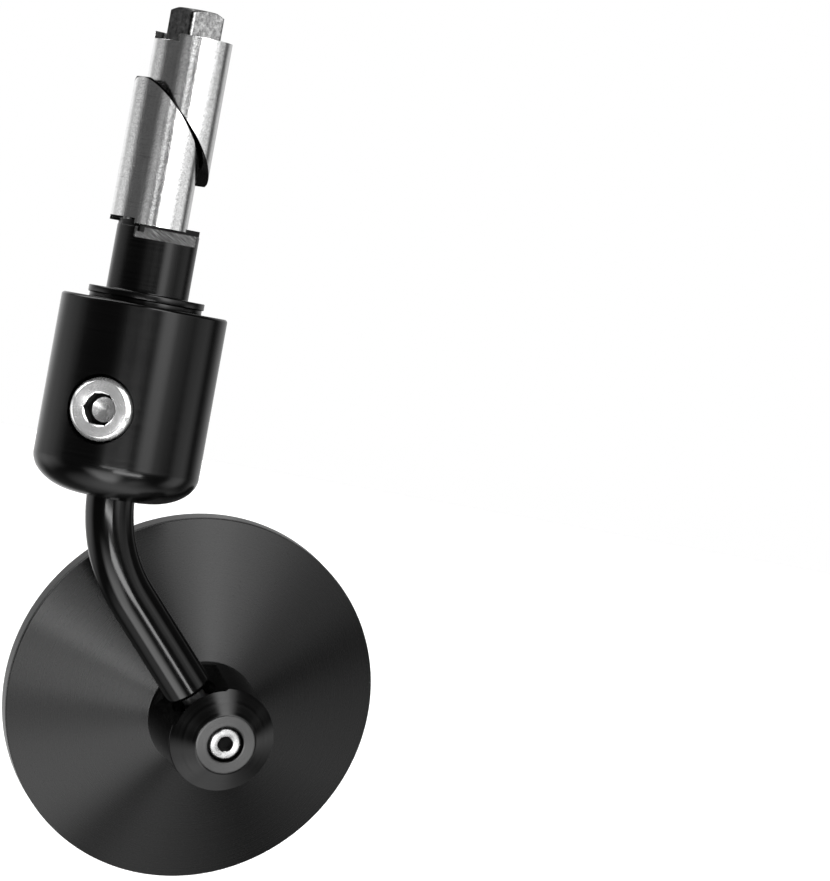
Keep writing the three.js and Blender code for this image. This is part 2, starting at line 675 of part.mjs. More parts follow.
function housingScrew([x, y]) {
  const headTop = HUB_BASE - 2 * SEAT_GAP - SHELL_THICKNESS;
  const screw = capScrew({
    headRadius: HOUSING_SCREW_HEAD_RADIUS,
    headHeight: HOUSING_SCREW_HEAD_HEIGHT,
    shankRadius: HOUSING_SCREW_RADIUS,
    shankLength: HOUSING_SCREW_LENGTH,
    socket: HOUSING_SCREW_SOCKET,
    socketDepth: HOUSING_SCREW_HEAD_HEIGHT / 2,
    facets: SMALL,
  });
  return screw.rotate([180, 0, 0]).translate([x, y, headTop - HOUSING_SCREW_HEAD_HEIGHT]);
}

function bezelRing() {
  const back = LIP_FACE + BEZEL_DEPTH;
  const lipBack = LIP_FACE + BEZEL_LIP_THICKNESS;
  return revolveRing([
    [BEZEL_LIP_RADIUS, LIP_FACE + BEZEL_INNER_CHAMFER],
    [BEZEL_LIP_RADIUS + BEZEL_INNER_CHAMFER, LIP_FACE],
    [RIM_RADIUS - BEZEL_OUTER_CHAMFER, LIP_FACE],
    [RIM_RADIUS, LIP_FACE + BEZEL_OUTER_CHAMFER],
    [RIM_RADIUS, back],
    [BEZEL_POCKET_RADIUS, back],
    [BEZEL_POCKET_RADIUS, lipBack],
    [BEZEL_LIP_RADIUS, lipBack],
  ], FINE);
}

// Heights on the slightly domed glass, above its edge.
function dome(radius) {
  const edge = Math.sqrt(GLASS_CURVE_RADIUS ** 2 - GLASS_RADIUS ** 2);
  return Math.sqrt(GLASS_CURVE_RADIUS ** 2 - radius ** 2) - edge;
}

// A disc of even thickness that follows the dome; front is its edge on the glass side.
function domedDisc(radius, front, thickness) {
  const rings = [0, 1 / 2, 1].map((fraction) => fraction * radius);
  const face = rings.map((r) => [r, front - dome(r)]);
  const back = [...rings].reverse().map((r) => [r, front + thickness - dome(r)]);
  return revolve([...face, ...back], FINE);
}

function mirrorGlass() {
  return domedDisc(GLASS_RADIUS, LIP_FACE + GLASS_RECESS, GLASS_THICKNESS);
}

function backingPad() {
  const front = LIP_FACE + GLASS_RECESS + GLASS_THICKNESS + SEAT_GAP;
  return domedDisc(PAD_DISC_RADIUS, front, PAD_DISC_THICKNESS);
}

// ---------------------------------------------------------------- assembly
const mirror = new THREE.Group();
const head = new THREE.Group();
head.applyMatrix4(headFrame());
mirror.add(head);

function place(group, name, solid, material) {
  const mesh = new THREE.Mesh(toGeometry(solid), material);
  mesh.name = name;
  group.add(mesh);
}

place(mirror, 'draw_nut', drawNut(), darkSteel());
place(mirror, 'upper_wedge', upperWedge(), polishedCasting());
place(mirror, 'lower_wedge', lowerWedge(), polishedCasting());
place(mirror, 'draw_screw', drawScrew(), darkSteel());
place(mirror, 'draw_screw_washer', drawScrewWasher(), brightSteel());
place(mirror, 'spindle', spindle(), blackAnodised());
place(mirror, 'friction_washer', frictionWasher(), blackAnodised());
place(mirror, 'body', body(), blackAnodised());
place(mirror, 'lock_screw', lockScrew(), brightSteel());
place(mirror, 'lock_shoe', lockShoe(), brass());
place(mirror, 'stem', stem(), blackAnodised());
place(mirror, 'stem_washer', stemWasher(), brightSteel());
place(mirror, 'stem_screw', stemScrew(), darkSteel());
place(head, 'ball_stud', ballStud(), darkSteel());
place(head, 'ball_seat', ballSeat(), whiteNylon());
place(head, 'pressure_pad', pressurePad(), whiteNylon());
place(head, 'spring_washer', springWasher(), brightSteel());
place(head, 'hub', hub(), blackAnodised());
place(head, 'hub_screw', hubScrew(), brightSteel());
place(head, 'mirror_housing', mirrorHousing(), blackAnodised());
place(head, 'bezel_ring', bezelRing(), blackAnodised());
place(head, 'mirror_glass', mirrorGlass(), silveredGlass());
place(head, 'backing_pad', backingPad(), greyFoam());
housingScrewPlaces().forEach((spot, index) => {
  place(head, `housing_screw_${index + 1}`, housingScrew(spot), darkSteel());
});

export default mirror;
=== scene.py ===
"""Looks of the bar-end mirror: fine pieces, materials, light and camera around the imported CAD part.

Lengths of the pieces are in millimetres and become metres when a piece is placed.
"""
import json
import math
from collections import namedtuple

import bmesh
import bpy
from mathutils import Matrix, Vector

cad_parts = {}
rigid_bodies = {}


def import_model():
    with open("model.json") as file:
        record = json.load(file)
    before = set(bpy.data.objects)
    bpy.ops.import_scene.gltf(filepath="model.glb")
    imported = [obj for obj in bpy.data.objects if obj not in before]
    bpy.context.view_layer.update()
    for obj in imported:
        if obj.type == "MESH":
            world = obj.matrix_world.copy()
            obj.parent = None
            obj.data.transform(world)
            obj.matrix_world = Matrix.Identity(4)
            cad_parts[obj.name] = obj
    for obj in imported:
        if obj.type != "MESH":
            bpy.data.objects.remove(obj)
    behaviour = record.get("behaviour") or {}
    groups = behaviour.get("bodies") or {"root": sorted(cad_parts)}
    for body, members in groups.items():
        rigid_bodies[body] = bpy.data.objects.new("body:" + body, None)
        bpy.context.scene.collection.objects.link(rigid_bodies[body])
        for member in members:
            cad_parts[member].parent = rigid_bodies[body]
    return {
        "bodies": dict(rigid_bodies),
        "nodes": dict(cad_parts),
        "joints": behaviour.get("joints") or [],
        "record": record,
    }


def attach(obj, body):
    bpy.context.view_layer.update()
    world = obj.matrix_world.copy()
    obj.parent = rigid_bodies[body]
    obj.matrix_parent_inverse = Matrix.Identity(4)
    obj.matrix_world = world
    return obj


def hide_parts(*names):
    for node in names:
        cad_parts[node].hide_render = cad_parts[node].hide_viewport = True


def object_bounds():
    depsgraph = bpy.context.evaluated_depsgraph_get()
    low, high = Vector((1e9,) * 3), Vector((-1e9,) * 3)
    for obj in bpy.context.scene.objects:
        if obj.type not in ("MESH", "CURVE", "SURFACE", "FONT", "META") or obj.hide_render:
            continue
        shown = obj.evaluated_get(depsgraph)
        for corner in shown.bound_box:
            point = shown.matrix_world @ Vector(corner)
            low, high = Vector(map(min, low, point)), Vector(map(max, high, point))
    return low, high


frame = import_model()
cad_low, cad_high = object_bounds()

MM = 0.001
JOINTS = {joint["name"]: joint for joint in frame["joints"]}

# ------------------------------------------------------------------ dimensions, in millimetres
FLANGE_RADIUS = 12
FLANGE_THICKNESS = 1.4
STUB_RADIUS = 8.5
STUB_HEIGHT = 13.3
FLATS_HALF_WIDTH = 5.5
FLATS_FROM = 11
FLATS_AZIMUTH = -11
KEY_WIDTH = 8
KEY_HEIGHT = 1.15
SPIGOT_RADIUS = 7
SPIGOT_BOTTOM = -29.4
GROOVE_RADIUS = 6.2
GROOVE_HALF_WIDTH = 3.7
SCREW_WELL_RADIUS = 4.75
SCREW_WELL_CEILING = -11.5
SCREW_BORE_RADIUS = 2.8

WEDGE_AZIMUTH = 7
WEDGE_RADIUS = 8
WEDGE_BORE_RADIUS = 5.6
WEDGE_LENGTH = 29.6
WEDGE_STACK_BOTTOM = 13.8
WEDGE_STACK_TOP = 53.3
WEDGE_SLOPE = 1.1
WEDGE_CUT_HEIGHT = 32.2
WEDGE_CUT_GAP = 0.3
CUT_SHADOW_WIDTH = 0.4               # width of the painted shadow line on each side of the cut
LOWER_WEDGE_OFFSET = -2.75
UPPER_WEDGE_OFFSET = 0.2
END_SLOT_WIDTH = 8.8
LOWER_SLOT_DEPTH = 0.95
UPPER_SLOT_DEPTH = 1.6
DRAW_SCREW_RADIUS = 2.5
NUT_WIDTH = 8.4
NUT_HEIGHT = 7.1
NUT_CORNER_RADIUS = 0.8
NUT_CHAMFER = 1.3
NUT_CROWN_INSET = 1.5

BODY_RADIUS = 17.2
BODY_TOP = -2.3
BODY_BOTTOM = -42.4
BODY_ROUND_RADIAL = 11
BODY_ROUND_AXIAL = 7
BODY_FLOOR = -35.4
BODY_WEB = 2
BODY_EDGE_CHAMFER = 0.4
BORE_CHAMFER = 0.3
FRICTION_WASHER_RADIUS = 11.65

LOCK_HEIGHT = -24.55
LOCK_WELL_RADIUS = 7.15
LOCK_WELL_FLOOR = 11.4
LOCK_HEAD_RADIUS = 6.5
LOCK_HEAD_HEIGHT = 5
LOCK_HEAD_FACE = 16.6
LOCK_SHANK_RADIUS = 4
LOCK_SHANK_END = 9
LOCK_FACE_CHAMFER = 0.75
LOCK_SOCKET = 6.2
LOCK_SOCKET_DEPTH = 3
LOCK_DRILL = 0.42            # radius of the drill point, as a share of the socket's width

STEM_RADIUS = 5
STEM_TOP = -37.5
STEM_BEND_START = -40.15
STEM_BEND_RADIUS = 31
STEM_BEND_ANGLE = 45
STEM_LEG = 24.2
STEM_TOP_CHAMFER = 0.4
STEM_END_CHAMFER = 0.7
STEM_SOCKET_GAP = 0.25
STEM_SCREW_RADIUS = 2.5
STEM_SCREW_DEPTH = 8.5

BALL_RADIUS = 4.5
BALL_TO_STEM = 10.8
NECK_RADIUS = 2.5
STUD_SHANK_RADIUS = 3
STUD_SHANK_LENGTH = 11
HUB_BASE = -9.3
HUB_BASE_RADIUS = 11.85
HUB_EDGE = 6.5
HUB_EDGE_RADIUS = 11.25
HUB_FACE = 9.95
HUB_FACE_RADIUS = 6.45
HUB_FACE_BORDER = 0.45       # flat ring that holds the shading of the face at each edge
HUB_BORE_RADIUS = 6.7
HUB_BORE_TOP = 5.75
HUB_FLAT_DISTANCE = 8.8
HUB_FLAT_FROM = -7.6
HUB_FLAT_TO = 6.9
HUB_WINDOW_RADIUS = 5.1
HUB_WELL_RADIUS = 3.75
HUB_WELL_FLOOR = 6.6
HUB_SCREW_RADIUS = 2
HUB_SCREW_HEAD_RADIUS = 3.45
HUB_SCREW_HEAD_FACE = 9.5
HUB_SCREW_HEAD_BOTTOM = 6.75
HUB_SCREW_FACE_CHAMFER = 0.35
HUB_SCREW_SOCKET = 3
HUB_SCREW_SOCKET_DEPTH = 1.7
HUB_SCREW_DRILL = 0.5
HUB_SCREW_END = 5.05

LIP_FACE = -24.1
RIM_RADIUS = 40
BEZEL_DEPTH = 3.6
BEZEL_LIP_RADIUS = 37.5
BEZEL_LIP_THICKNESS = 1.4
BEZEL_INNER_CHAMFER = 0.5
BEZEL_OUTER_CHAMFER = 0.3
BEZEL_POCKET_RADIUS = 38.8
RIM_DEPTH = 4.3
SHELL_THICKNESS = 1.7
SHELL_SPIGOT_RADIUS = 38.5
SHELL_SPIGOT_DEPTH = 0.9
SHELL_SPIGOT_WALL = 1.6
SHELL_CENTRE_HOLE = 3.2
GLASS_RADIUS = 38.3
GLASS_THICKNESS = 1.2
GLASS_RECESS = 1.5
GLASS_CURVE_RADIUS = 1200
HOUSING_SCREWS = 3
HOUSING_SCREW_CIRCLE = 9.2
HOUSING_SCREW_FIRST = 60     # direction of the first screw, in degrees from the stem
HOUSING_SCREW_RADIUS = 1.25
HOUSING_SCREW_HOLE_DEPTH = 3.6

GAP = 0.1                    # between two faces that bear on each other
RUNNING_GAP = 0.06           # round a shaft in its bore
CLEARANCE = 0.2              # round a screw in a hole that it passes through
OVERCUT = 1                  # how far a cutting tool runs past the face it opens
DRILL_POINT = 0.56           # depth of a drill point, as a share of its radius
SLIGHT_TURN = 14             # corners of an outline that turn by less than this, in degrees, stay sharp

# Facets around a full turn
WIDE = 256
FINE = 192
MEDIUM = 128
COARSE = 96
SMALL = 64
TINY = 32


# ------------------------------------------------------------------ frames
def joint_point(name):
    return Vector(JOINTS[name]["pos_m"])


def joint_axis(name):
    return Vector(JOINTS[name]["axis"]).normalized()


def basis(x_axis, y_axis, z_axis, origin):
    matrix = Matrix((x_axis, y_axis, z_axis)).transposed().to_4x4()
    matrix.translation = origin
    return matrix


UPRIGHT = Matrix.Identity(4)
leg_direction = joint_axis("head_turn")
hub_axis = joint_axis("head_roll")
ball_centre = joint_point("head_turn")
HEAD = basis(-leg_direction, hub_axis.cross(-leg_direction), hub_axis, ball_centre)
lock_direction = joint_axis("lock_screw_turn")
lock_right = Vector((0, 0, 1)).cross(lock_direction)
LOCK = basis(lock_right, lock_direction.cross(lock_right), lock_direction, joint_point("lock_screw_turn"))
WEDGES = Matrix.Rotation(math.radians(WEDGE_AZIMUTH), 4, "Z")
STUD = basis(hub_axis, hub_axis.cross(-leg_direction) * -1, -leg_direction, ball_centre)


# ------------------------------------------------------------------ mesh building, in millimetres
def new_object(name, mesh):
    piece = bpy.data.objects.new(name, mesh)
    bpy.context.scene.collection.objects.link(piece)
    return piece


def softened(outline, width, steps=3, closed=False):
    """The outline with each corner cut by a small arc that starts at most width from it."""
    points = [Vector(p) for p in outline]
    count = len(points)
    result = []
    for i, corner in enumerate(points):
        if not closed and i in (0, count - 1):
            result.append(corner)
            continue
        before = points[i - 1] - corner
        after = points[(i + 1) % count] - corner
        if before.length < 1e-6 or after.length < 1e-6:
            result.append(corner)
            continue
        turn = math.pi - before.angle(after)
        if turn < math.radians(SLIGHT_TURN):
            result.append(corner)
            continue
        reach = min(width, 0.45 * before.length, 0.45 * after.length)
        start = corner + before.normalized() * reach
        end = corner + after.normalized() * reach
        for k in range(steps + 1):
            t = k / steps
            result.append(start * (1 - t) ** 2 + corner * 2 * t * (1 - t) + end * t ** 2)
    return [(p.x, p.y) for p in result]


def sweep(outline, facets, place, closed=False):
    """A round solid: each outline point (radius, along) becomes a ring of place(radius, angle, along)."""
    builder = bmesh.new()
    rings = []
    for radius, along in outline:
        if radius < 1e-6:
            rings.append([builder.verts.new(place(0, 0, along))])
        else:
            angles = (2 * math.pi * k / facets for k in range(facets))
            rings.append([builder.verts.new(place(radius, angle, along)) for angle in angles])
    pairs = list(zip(rings, rings[1:]))
    if closed:
        pairs.append((rings[-1], rings[0]))
    for low, high in pairs:
        for k in range(facets):
            following = (k + 1) % facets
            if len(low) == 1 and len(high) == 1:
                break
            if len(low) == 1:
                builder.faces.new((low[0], high[following], high[k]))
            elif len(high) == 1:
                builder.faces.new((low[k], low[following], high[0]))
            else:
                builder.faces.new((low[k], low[following], high[following], high[k]))
    bmesh.ops.recalc_face_normals(builder, faces=builder.faces)
    mesh = bpy.data.meshes.new("solid")
    builder.to_mesh(mesh)
    builder.free()
    return new_object("solid", mesh)


def upright(radius, angle, along):
    return (radius * math.cos(angle), radius * math.sin(angle), along)


def lathe(outline, facets=FINE, soft=0.0, closed=False):
    """A round solid about Z. soft is how far its corners are rounded."""
    if soft:
        outline = softened(outline, soft, closed=closed)
    return sweep(outline, facets, upright, closed)


def rod(radius, bottom, top, facets=COARSE):
    return lathe([(0, bottom), (radius, bottom), (radius, top), (0, top)], facets)


def tube(inner, outer, bottom, top, soft=0.0):
    return lathe([(inner, bottom), (outer, bottom), (outer, top), (inner, top)], FINE, soft, closed=True)


def block(width, depth, bottom, top):
    builder = bmesh.new()
    bmesh.ops.create_cube(builder, size=1)
    size = Matrix.Diagonal((width, depth, top - bottom, 1))
    centre = Matrix.Translation((0, 0, (bottom + top) / 2))
    bmesh.ops.transform(builder, matrix=centre @ size, verts=builder.verts)
    mesh = bpy.data.meshes.new("block")
    builder.to_mesh(mesh)
    builder.free()
    return new_object("block", mesh)


def moved(piece, matrix):
    piece.data.transform(matrix)
    return piece


def shifted(piece, x, y, z):
    return moved(piece, Matrix.Translation((x, y, z)))


def turned(piece, degrees, axis="Z"):
    return moved(piece, Matrix.Rotation(math.radians(degrees), 4, axis))


def in_mm(matrix):
    """A placement matrix in metres, as one in millimetres."""
    result = matrix.copy()
    result.translation = matrix.translation / MM
    return result


def apply_modifiers(piece):
    bpy.context.view_layer.update()
    evaluated = piece.evaluated_get(bpy.context.evaluated_depsgraph_get())
    mesh = bpy.data.meshes.new_from_object(evaluated)
    piece.modifiers.clear()
    old = piece.data
    piece.data = mesh
    bpy.data.meshes.remove(old)
    return piece


def combined(piece, tools, operation):
    """The piece after a boolean operation with each tool, which uses the tools up."""
    for tool in tools:
        modifier = piece.modifiers.new("cut", "BOOLEAN")
        modifier.operation = operation
        modifier.solver = "EXACT"
        modifier.object = tool
        apply_modifiers(piece)
        mesh = tool.data
        bpy.data.objects.remove(tool)
        bpy.data.meshes.remove(mesh)
    return piece


def cut(piece, *tools):
    return combined(piece, tools, "DIFFERENCE")


def kept(piece, *tools):
    return combined(piece, tools, "INTERSECT")


def joined(piece, *tools):
    return combined(piece, tools, "UNION")


def bevelled(piece, width, angle):
    """Rounds every edge that turns by more than angle, in degrees."""
    builder = bmesh.new()
    builder.from_mesh(piece.data)
    bmesh.ops.remove_doubles(builder, verts=builder.verts, dist=0.002)
    bmesh.ops.dissolve_degenerate(builder, edges=builder.edges, dist=0.002)
    builder.to_mesh(piece.data)
    builder.free()
    modifier = piece.modifiers.new("edges", "BEVEL")
    modifier.width = width
    modifier.segments = 2
    modifier.limit_method = "ANGLE"
    modifier.angle_limit = math.radians(angle)
    modifier.miter_outer = "MITER_ARC"
    return apply_modifiers(piece)


def settle(piece, name, matrix, body, node, material, smooth=40):
    """Turns the piece into metres, puts it in place and lets it stand for its CAD node."""
    mesh = piece.data
    mesh.transform(matrix @ Matrix.Scale(MM, 4))
    mesh.materials.clear()
    mesh.materials.append(material)
    mesh.shade_smooth()
    mesh.set_sharp_from_angle(angle=math.radians(smooth))
    weights = piece.modifiers.new("even_shading", "WEIGHTED_NORMAL")
    weights.keep_sharp = True
    weights.weight = 90
    piece.name = name
    mesh.name = name
    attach(piece, body)
    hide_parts(node)
    return piece


# ------------------------------------------------------------------ materials
class Graph:
    """A short way to write a node tree."""

    def __init__(self, tree):
        self.tree = tree

    def add(self, kind, **settings):
        """A new node. Each setting is one of its attributes."""
        node = self.tree.nodes.new(kind)
        for key, value in settings.items():
            setattr(node, key, value)
        return node

    def plug(self, socket, value):
        """Links the socket to another node's output, or gives it a fixed value."""
        if isinstance(value, bpy.types.NodeSocket):
            self.tree.links.new(value, socket)
        else:
            socket.default_value = value

    def maths(self, operation, *values):
        """The result of one step of arithmetic on numbers or outputs."""
        node = self.add("ShaderNodeMath", operation=operation)
        for socket, value in zip(node.inputs, values):
            self.plug(socket, value)
        return node.outputs[0]

    def plus(self, first, second):
        return self.maths("ADD", first, second)

    def minus(self, first, second):
        return self.maths("SUBTRACT", first, second)

    def times(self, first, second):
        return self.maths("MULTIPLY", first, second)

    def combine(self, x, y, z):
        node = self.add("ShaderNodeCombineXYZ")
        for socket, value in zip(node.inputs, (x, y, z)):
            self.plug(socket, value)
        return node.outputs[0]

    def noise(self, vector, scale, detail=4.0, roughness=0.55):
        node = self.add("ShaderNodeTexNoise")
        self.plug(node.inputs["Vector"], vector)
        node.inputs["Scale"].default_value = scale
        node.inputs["Detail"].default_value = detail
        node.inputs["Roughness"].default_value = roughness
        return node.outputs["Fac"]

    def spread(self, value, low, high, to_low, to_high):
        """Maps low..high to to_low..to_high, and holds the value there outside them."""
        node = self.add("ShaderNodeMapRange")
        for socket, number in zip(node.inputs, (value, low, high, to_low, to_high)):
            self.plug(socket, number)
        return node.outputs[0]

    def ramp(self, value, stops):
        """A colour ramp. Each stop is a position with a grey or a colour."""
        node = self.add("ShaderNodeValToRGB")
        elements = node.color_ramp.elements
        while len(elements) > 1:
            elements.remove(elements[-1])
        for index, (position, grey) in enumerate(stops):
            element = elements[0] if index == 0 else elements.new(position)
            element.position = position
            shade = grey if isinstance(grey, tuple) else (grey, grey, grey)
            element.color = (*shade, 1)
        self.plug(node.inputs[0], value)
        return node.outputs["Color"]

    def mix(self, factor, first, second):
        node = self.add("ShaderNodeMix", data_type="RGBA")
        self.plug(node.inputs[0], factor)
        self.plug(node.inputs[6], first)
        self.plug(node.inputs[7], second)
        return node.outputs[2]

    def vector(self, operation, *values, output=0):
        node = self.add("ShaderNodeVectorMath", operation=operation)
        for socket, value in zip(node.inputs, values):
            self.plug(socket, value)
        return node.outputs[output]


class Finish(Graph):
    """The node tree of one material. Its coordinates are those of a frame fixed in the piece."""

    def __init__(self, name, frame=UPRIGHT):
        self.material = bpy.data.materials.new(name)
        self.material.use_nodes = True
        super().__init__(self.material.node_tree)
        self.shader = self.tree.nodes["Principled BSDF"]
        self.frame = frame
        self.place = self.add("ShaderNodeTexCoord").outputs["Object"]
        mapping = self.add("ShaderNodeMapping", vector_type="TEXTURE")
        self.plug(mapping.inputs["Vector"], self.place)
        mapping.inputs["Location"].default_value = frame.translation
        mapping.inputs["Rotation"].default_value = frame.to_euler()
        self.coordinates = mapping.outputs[0]

    def split(self):
        node = self.add("ShaderNodeSeparateXYZ")
        self.plug(node.inputs[0], self.coordinates)
        return node.outputs

    def scaled(self, x, y, z):
        return self.vector("MULTIPLY", self.coordinates, (x, y, z))

    def turned(self, strength):
        """Streaks across the rings that a lathe leaves about the frame's Z."""
        outward = self.vector("SUBTRACT", self.place, self.frame.translation)
        around = self.vector("CROSS_PRODUCT", self.frame.col[2].xyz, outward)
        node = self.add("ShaderNodeVectorTransform", vector_type="VECTOR",
                        convert_from="OBJECT", convert_to="WORLD")
        self.plug(node.inputs[0], around)
        self.plug(self.shader.inputs["Tangent"], node.outputs[0])
        self.shader.inputs["Anisotropic"].default_value = strength
        self.shader.inputs["Anisotropic Rotation"].default_value = 0.25

    def round(self):
        """Distance from the frame's Z, and height along it."""
        x, y, z = self.split()
        radius = self.maths("SQRT", self.plus(self.times(x, x), self.times(y, y)))
        return radius, z

    def bump(self, height, strength, distance):
        """Small relief. distance is its depth in metres."""
        node = self.add("ShaderNodeBump")
        node.inputs["Strength"].default_value = strength
        node.inputs["Distance"].default_value = distance
        self.plug(node.inputs["Height"], height)
        self.plug(self.shader.inputs["Normal"], node.outputs[0])

    def finish(self, **sockets):
        for name, value in sockets.items():
            self.plug(self.shader.inputs[name.replace("_", " ")], value)
        return self.material


ANODISED_BLACK = [(0.0, 0.0001), (1.0, 0.0012)]
ANODISED_IOR = 1.3
SOCKET_ROUGHNESS = 0.8
BLACK = (0.0, 0.0, 0.0, 1.0)


def lathe_lines(n, scale):
    """Fine rings about the frame's Z, as a lathe tool leaves."""
    radius, z = n.round()
    return n.noise(n.combine(radius, z, 0.0), scale, 3.0)


def black_anodised(name, roughness, frame=UPRIGHT, streaks=0.0, lines=2600, depth=0.000003, uneven=0.15):
    """Black aluminium with fine rings: lines is their scale, depth their height, uneven their variation."""
    n = Finish(name, frame)
    rings = lathe_lines(n, lines)
    cloud = n.noise(n.coordinates, 90, 3)
    dust = n.noise(n.coordinates, 2400, 2)
    shade = n.times(n.spread(rings, 0.3, 0.7, 0.6, 1.4), n.spread(cloud, 0.3, 0.7, 0.85, 1.15))
    color = n.ramp(n.times(shade, 0.5), ANODISED_BLACK)
    ringed = n.spread(rings, 0.25, 0.75, roughness * (1 - uneven), roughness * (1 + uneven))
    rough = n.plus(ringed, n.spread(dust, 0.62, 0.8, 0.0, 0.06))
    n.bump(rings, 0.25, depth)
    if streaks:
        n.turned(streaks)
    return n.finish(Base_Color=color, Roughness=rough, Metallic=0.0, IOR=ANODISED_IOR)


def milled_spindle():
    """The black turned finish, with bare milled faces on the two flats."""
    n = Finish("black_anodised_spindle")
    x, y, z = n.split()
    rings = lathe_lines(n, 2600)
    azimuth = math.radians(FLATS_AZIMUTH)
    across = n.plus(n.times(x, -math.sin(azimuth)), n.times(y, math.cos(azimuth)))
    along = n.plus(n.times(x, math.cos(azimuth)), n.times(y, math.sin(azimuth)))
    from_flat = n.maths("ABSOLUTE", n.minus(n.maths("ABSOLUTE", across), FLATS_HALF_WIDTH * MM))
    near_flat = n.maths("LESS_THAN", from_flat, 0.25 * MM)
    above = n.maths("GREATER_THAN", z, (FLATS_FROM + 0.1) * MM)
    below = n.maths("LESS_THAN", z, (STUB_HEIGHT - 0.05) * MM)
    mask = n.times(near_flat, n.times(above, below))
    slanted = n.plus(along, n.times(z, 1.7))
    crossed = n.minus(along, n.times(z, 1.1))
    marks = n.noise(n.combine(n.times(slanted, 5.0), n.times(crossed, 0.4), 0.0), 700, 3)
    black = n.ramp(n.spread(rings, 0.3, 0.7, 0.0, 1.0), ANODISED_BLACK)
    bare = n.ramp(marks, [(0.32, 0.01), (0.5, 0.045), (0.68, 0.14)])
    n.bump(n.mix(mask, rings, marks), 0.25, 0.000006)
    return n.finish(
        Base_Color=n.mix(mask, black, bare),
        Roughness=n.plus(n.spread(rings, 0.25, 0.75, 0.16, 0.26), n.times(mask, 0.2)),
        Metallic=n.times(mask, 0.75),
        IOR=ANODISED_IOR,
    )


def polished_casting():
    """Polished cast metal with pits, hairlines and small dents, and a painted shadow line along the slanting
    cut, for the shade in the gap between the two wedges.
    """
    n = Finish("polished_casting", WEDGES)
    x, _, z = n.split()
    drawn = n.noise(n.scaled(1.0, 1.0, 0.05), 3200, 3)
    blotch = n.noise(n.coordinates, 420, 5, 0.65)
    pits = n.noise(n.coordinates, 2600, 3)
    hairs = n.noise(n.scaled(0.05, 0.05, 1.0), 2600, 2)
    dark = n.times(n.spread(pits, 0.5, 0.7, 1.0, 0.78), n.spread(hairs, 0.64, 0.74, 1.0, 0.8))
    tone = n.times(n.spread(blotch, 0.35, 0.75, 0.97, 0.84), dark)
    slope = math.atan(WEDGE_SLOPE)
    # Painted shadow: the colour goes black along the slanting cut, for the shade in the gap between the two
    # wedges.
    above_cut = n.times(n.minus(z, WEDGE_CUT_HEIGHT * MM), math.cos(slope))
    from_cut = n.maths("ABSOLUTE", n.plus(n.times(x, math.sin(slope)), above_cut))
    tone = n.times(tone, n.spread(from_cut, CUT_SHADOW_WIDTH * MM, (CUT_SHADOW_WIDTH + 0.1) * MM, 0.0, 1.0))
    rough = n.plus(n.spread(drawn, 0.3, 0.7, 0.1, 0.18), n.spread(pits, 0.55, 0.7, 0.0, 0.1))
    dents = n.noise(n.scaled(1.0, 1.0, 0.6), 1700, 4, 0.6)
    n.bump(n.plus(drawn, n.times(dents, 16.0)), 1.0, 0.0000015)
    return n.finish(Base_Color=n.ramp(tone, [(0.0, 0.0), (1.0, 0.95)]), Roughness=rough, Metallic=1.0)


def dark_steel():
    n = Finish("dark_plated_steel")
    blotch = n.noise(n.coordinates, 700, 5, 0.65)
    fine = n.noise(n.coordinates, 3500, 3)
    mottle = n.plus(n.times(blotch, 0.7), n.times(fine, 0.3))
    color = n.ramp(mottle, [(0.3, 0.12), (0.7, 0.2)])
    rough = n.spread(blotch, 0.3, 0.7, 0.255, 0.459)
    n.bump(n.plus(blotch, n.times(fine, 0.4)), 0.3, 0.000005)
    return n.finish(Base_Color=color, Roughness=rough, Metallic=1.0)


def zinc_nut():
    """Dull zinc, with painted shade that turns one side nearly black."""
    n = Finish("zinc_plated_nut", WEDGES)
    blotch = n.noise(n.coordinates, 1300, 5, 0.65)
    fine = n.noise(n.coordinates, 6500, 3)
    # Painted shade: the face at -x, the shaded side of the nut, is mixed nearly to black.
    side = -NUT_WIDTH / 2
    zinc = n.spread(n.split()[0], (side + 0.25) * MM, (side + 0.45) * MM, 0.12, 1.0)
    mottle = n.plus(n.times(blotch, 0.7), n.times(fine, 0.3))
    color = n.ramp(mottle, [(0.32, 0.08), (0.5, 0.3), (0.66, 0.62)])
    n.bump(n.plus(blotch, n.times(fine, 0.4)), 0.3, 0.000012)
    rough = n.spread(blotch, 0.3, 0.7, 0.24, 0.4)
    return n.finish(Base_Color=n.mix(zinc, BLACK, color), Roughness=rough, Metallic=1.0)


# Where a screw's socket gets painted shade: its radius, floor and mouth, and the dark tone painted there.
Socket = namedtuple("Socket", "radius floor mouth tone")


def chrome(name, roughness, frame=UPRIGHT, tone=0.86, streaks=0.0, socket=None, metallic=1.0):
    """Bright plating. A socket gets painted shade, nearly black, between its floor and its mouth, which are
    heights in the frame.
    """
    n = Finish(name, frame)
    if streaks:
        n.turned(streaks)
    rings = lathe_lines(n, 3000)
    haze = n.noise(n.coordinates, 900, 3)
    n.bump(rings, 0.12, 0.000004)
    color = n.ramp(rings, [(0.3, tone * 0.92), (0.7, min(1.0, tone * 1.06))])
    rough = n.spread(haze, 0.3, 0.7, roughness * 0.8, roughness * 1.2)
    # Painted shade: inside the socket the colour goes nearly black for the shade in the recess, and the
    # roughness rises.
    if socket:
        radius, z = n.round()
        inside = n.maths("LESS_THAN", radius, socket.radius * MM)
        above_floor = n.maths("GREATER_THAN", z, socket.floor * MM)
        below_mouth = n.maths("LESS_THAN", z, socket.mouth * MM)
        socket_shade_mask = n.times(inside, n.times(above_floor, below_mouth))
        color = n.mix(socket_shade_mask, color, (socket.tone, socket.tone, socket.tone, 1.0))
        rough = n.maths("MAXIMUM", rough, n.times(socket_shade_mask, SOCKET_ROUGHNESS))
    return n.finish(Base_Color=color, Roughness=rough, Metallic=metallic)


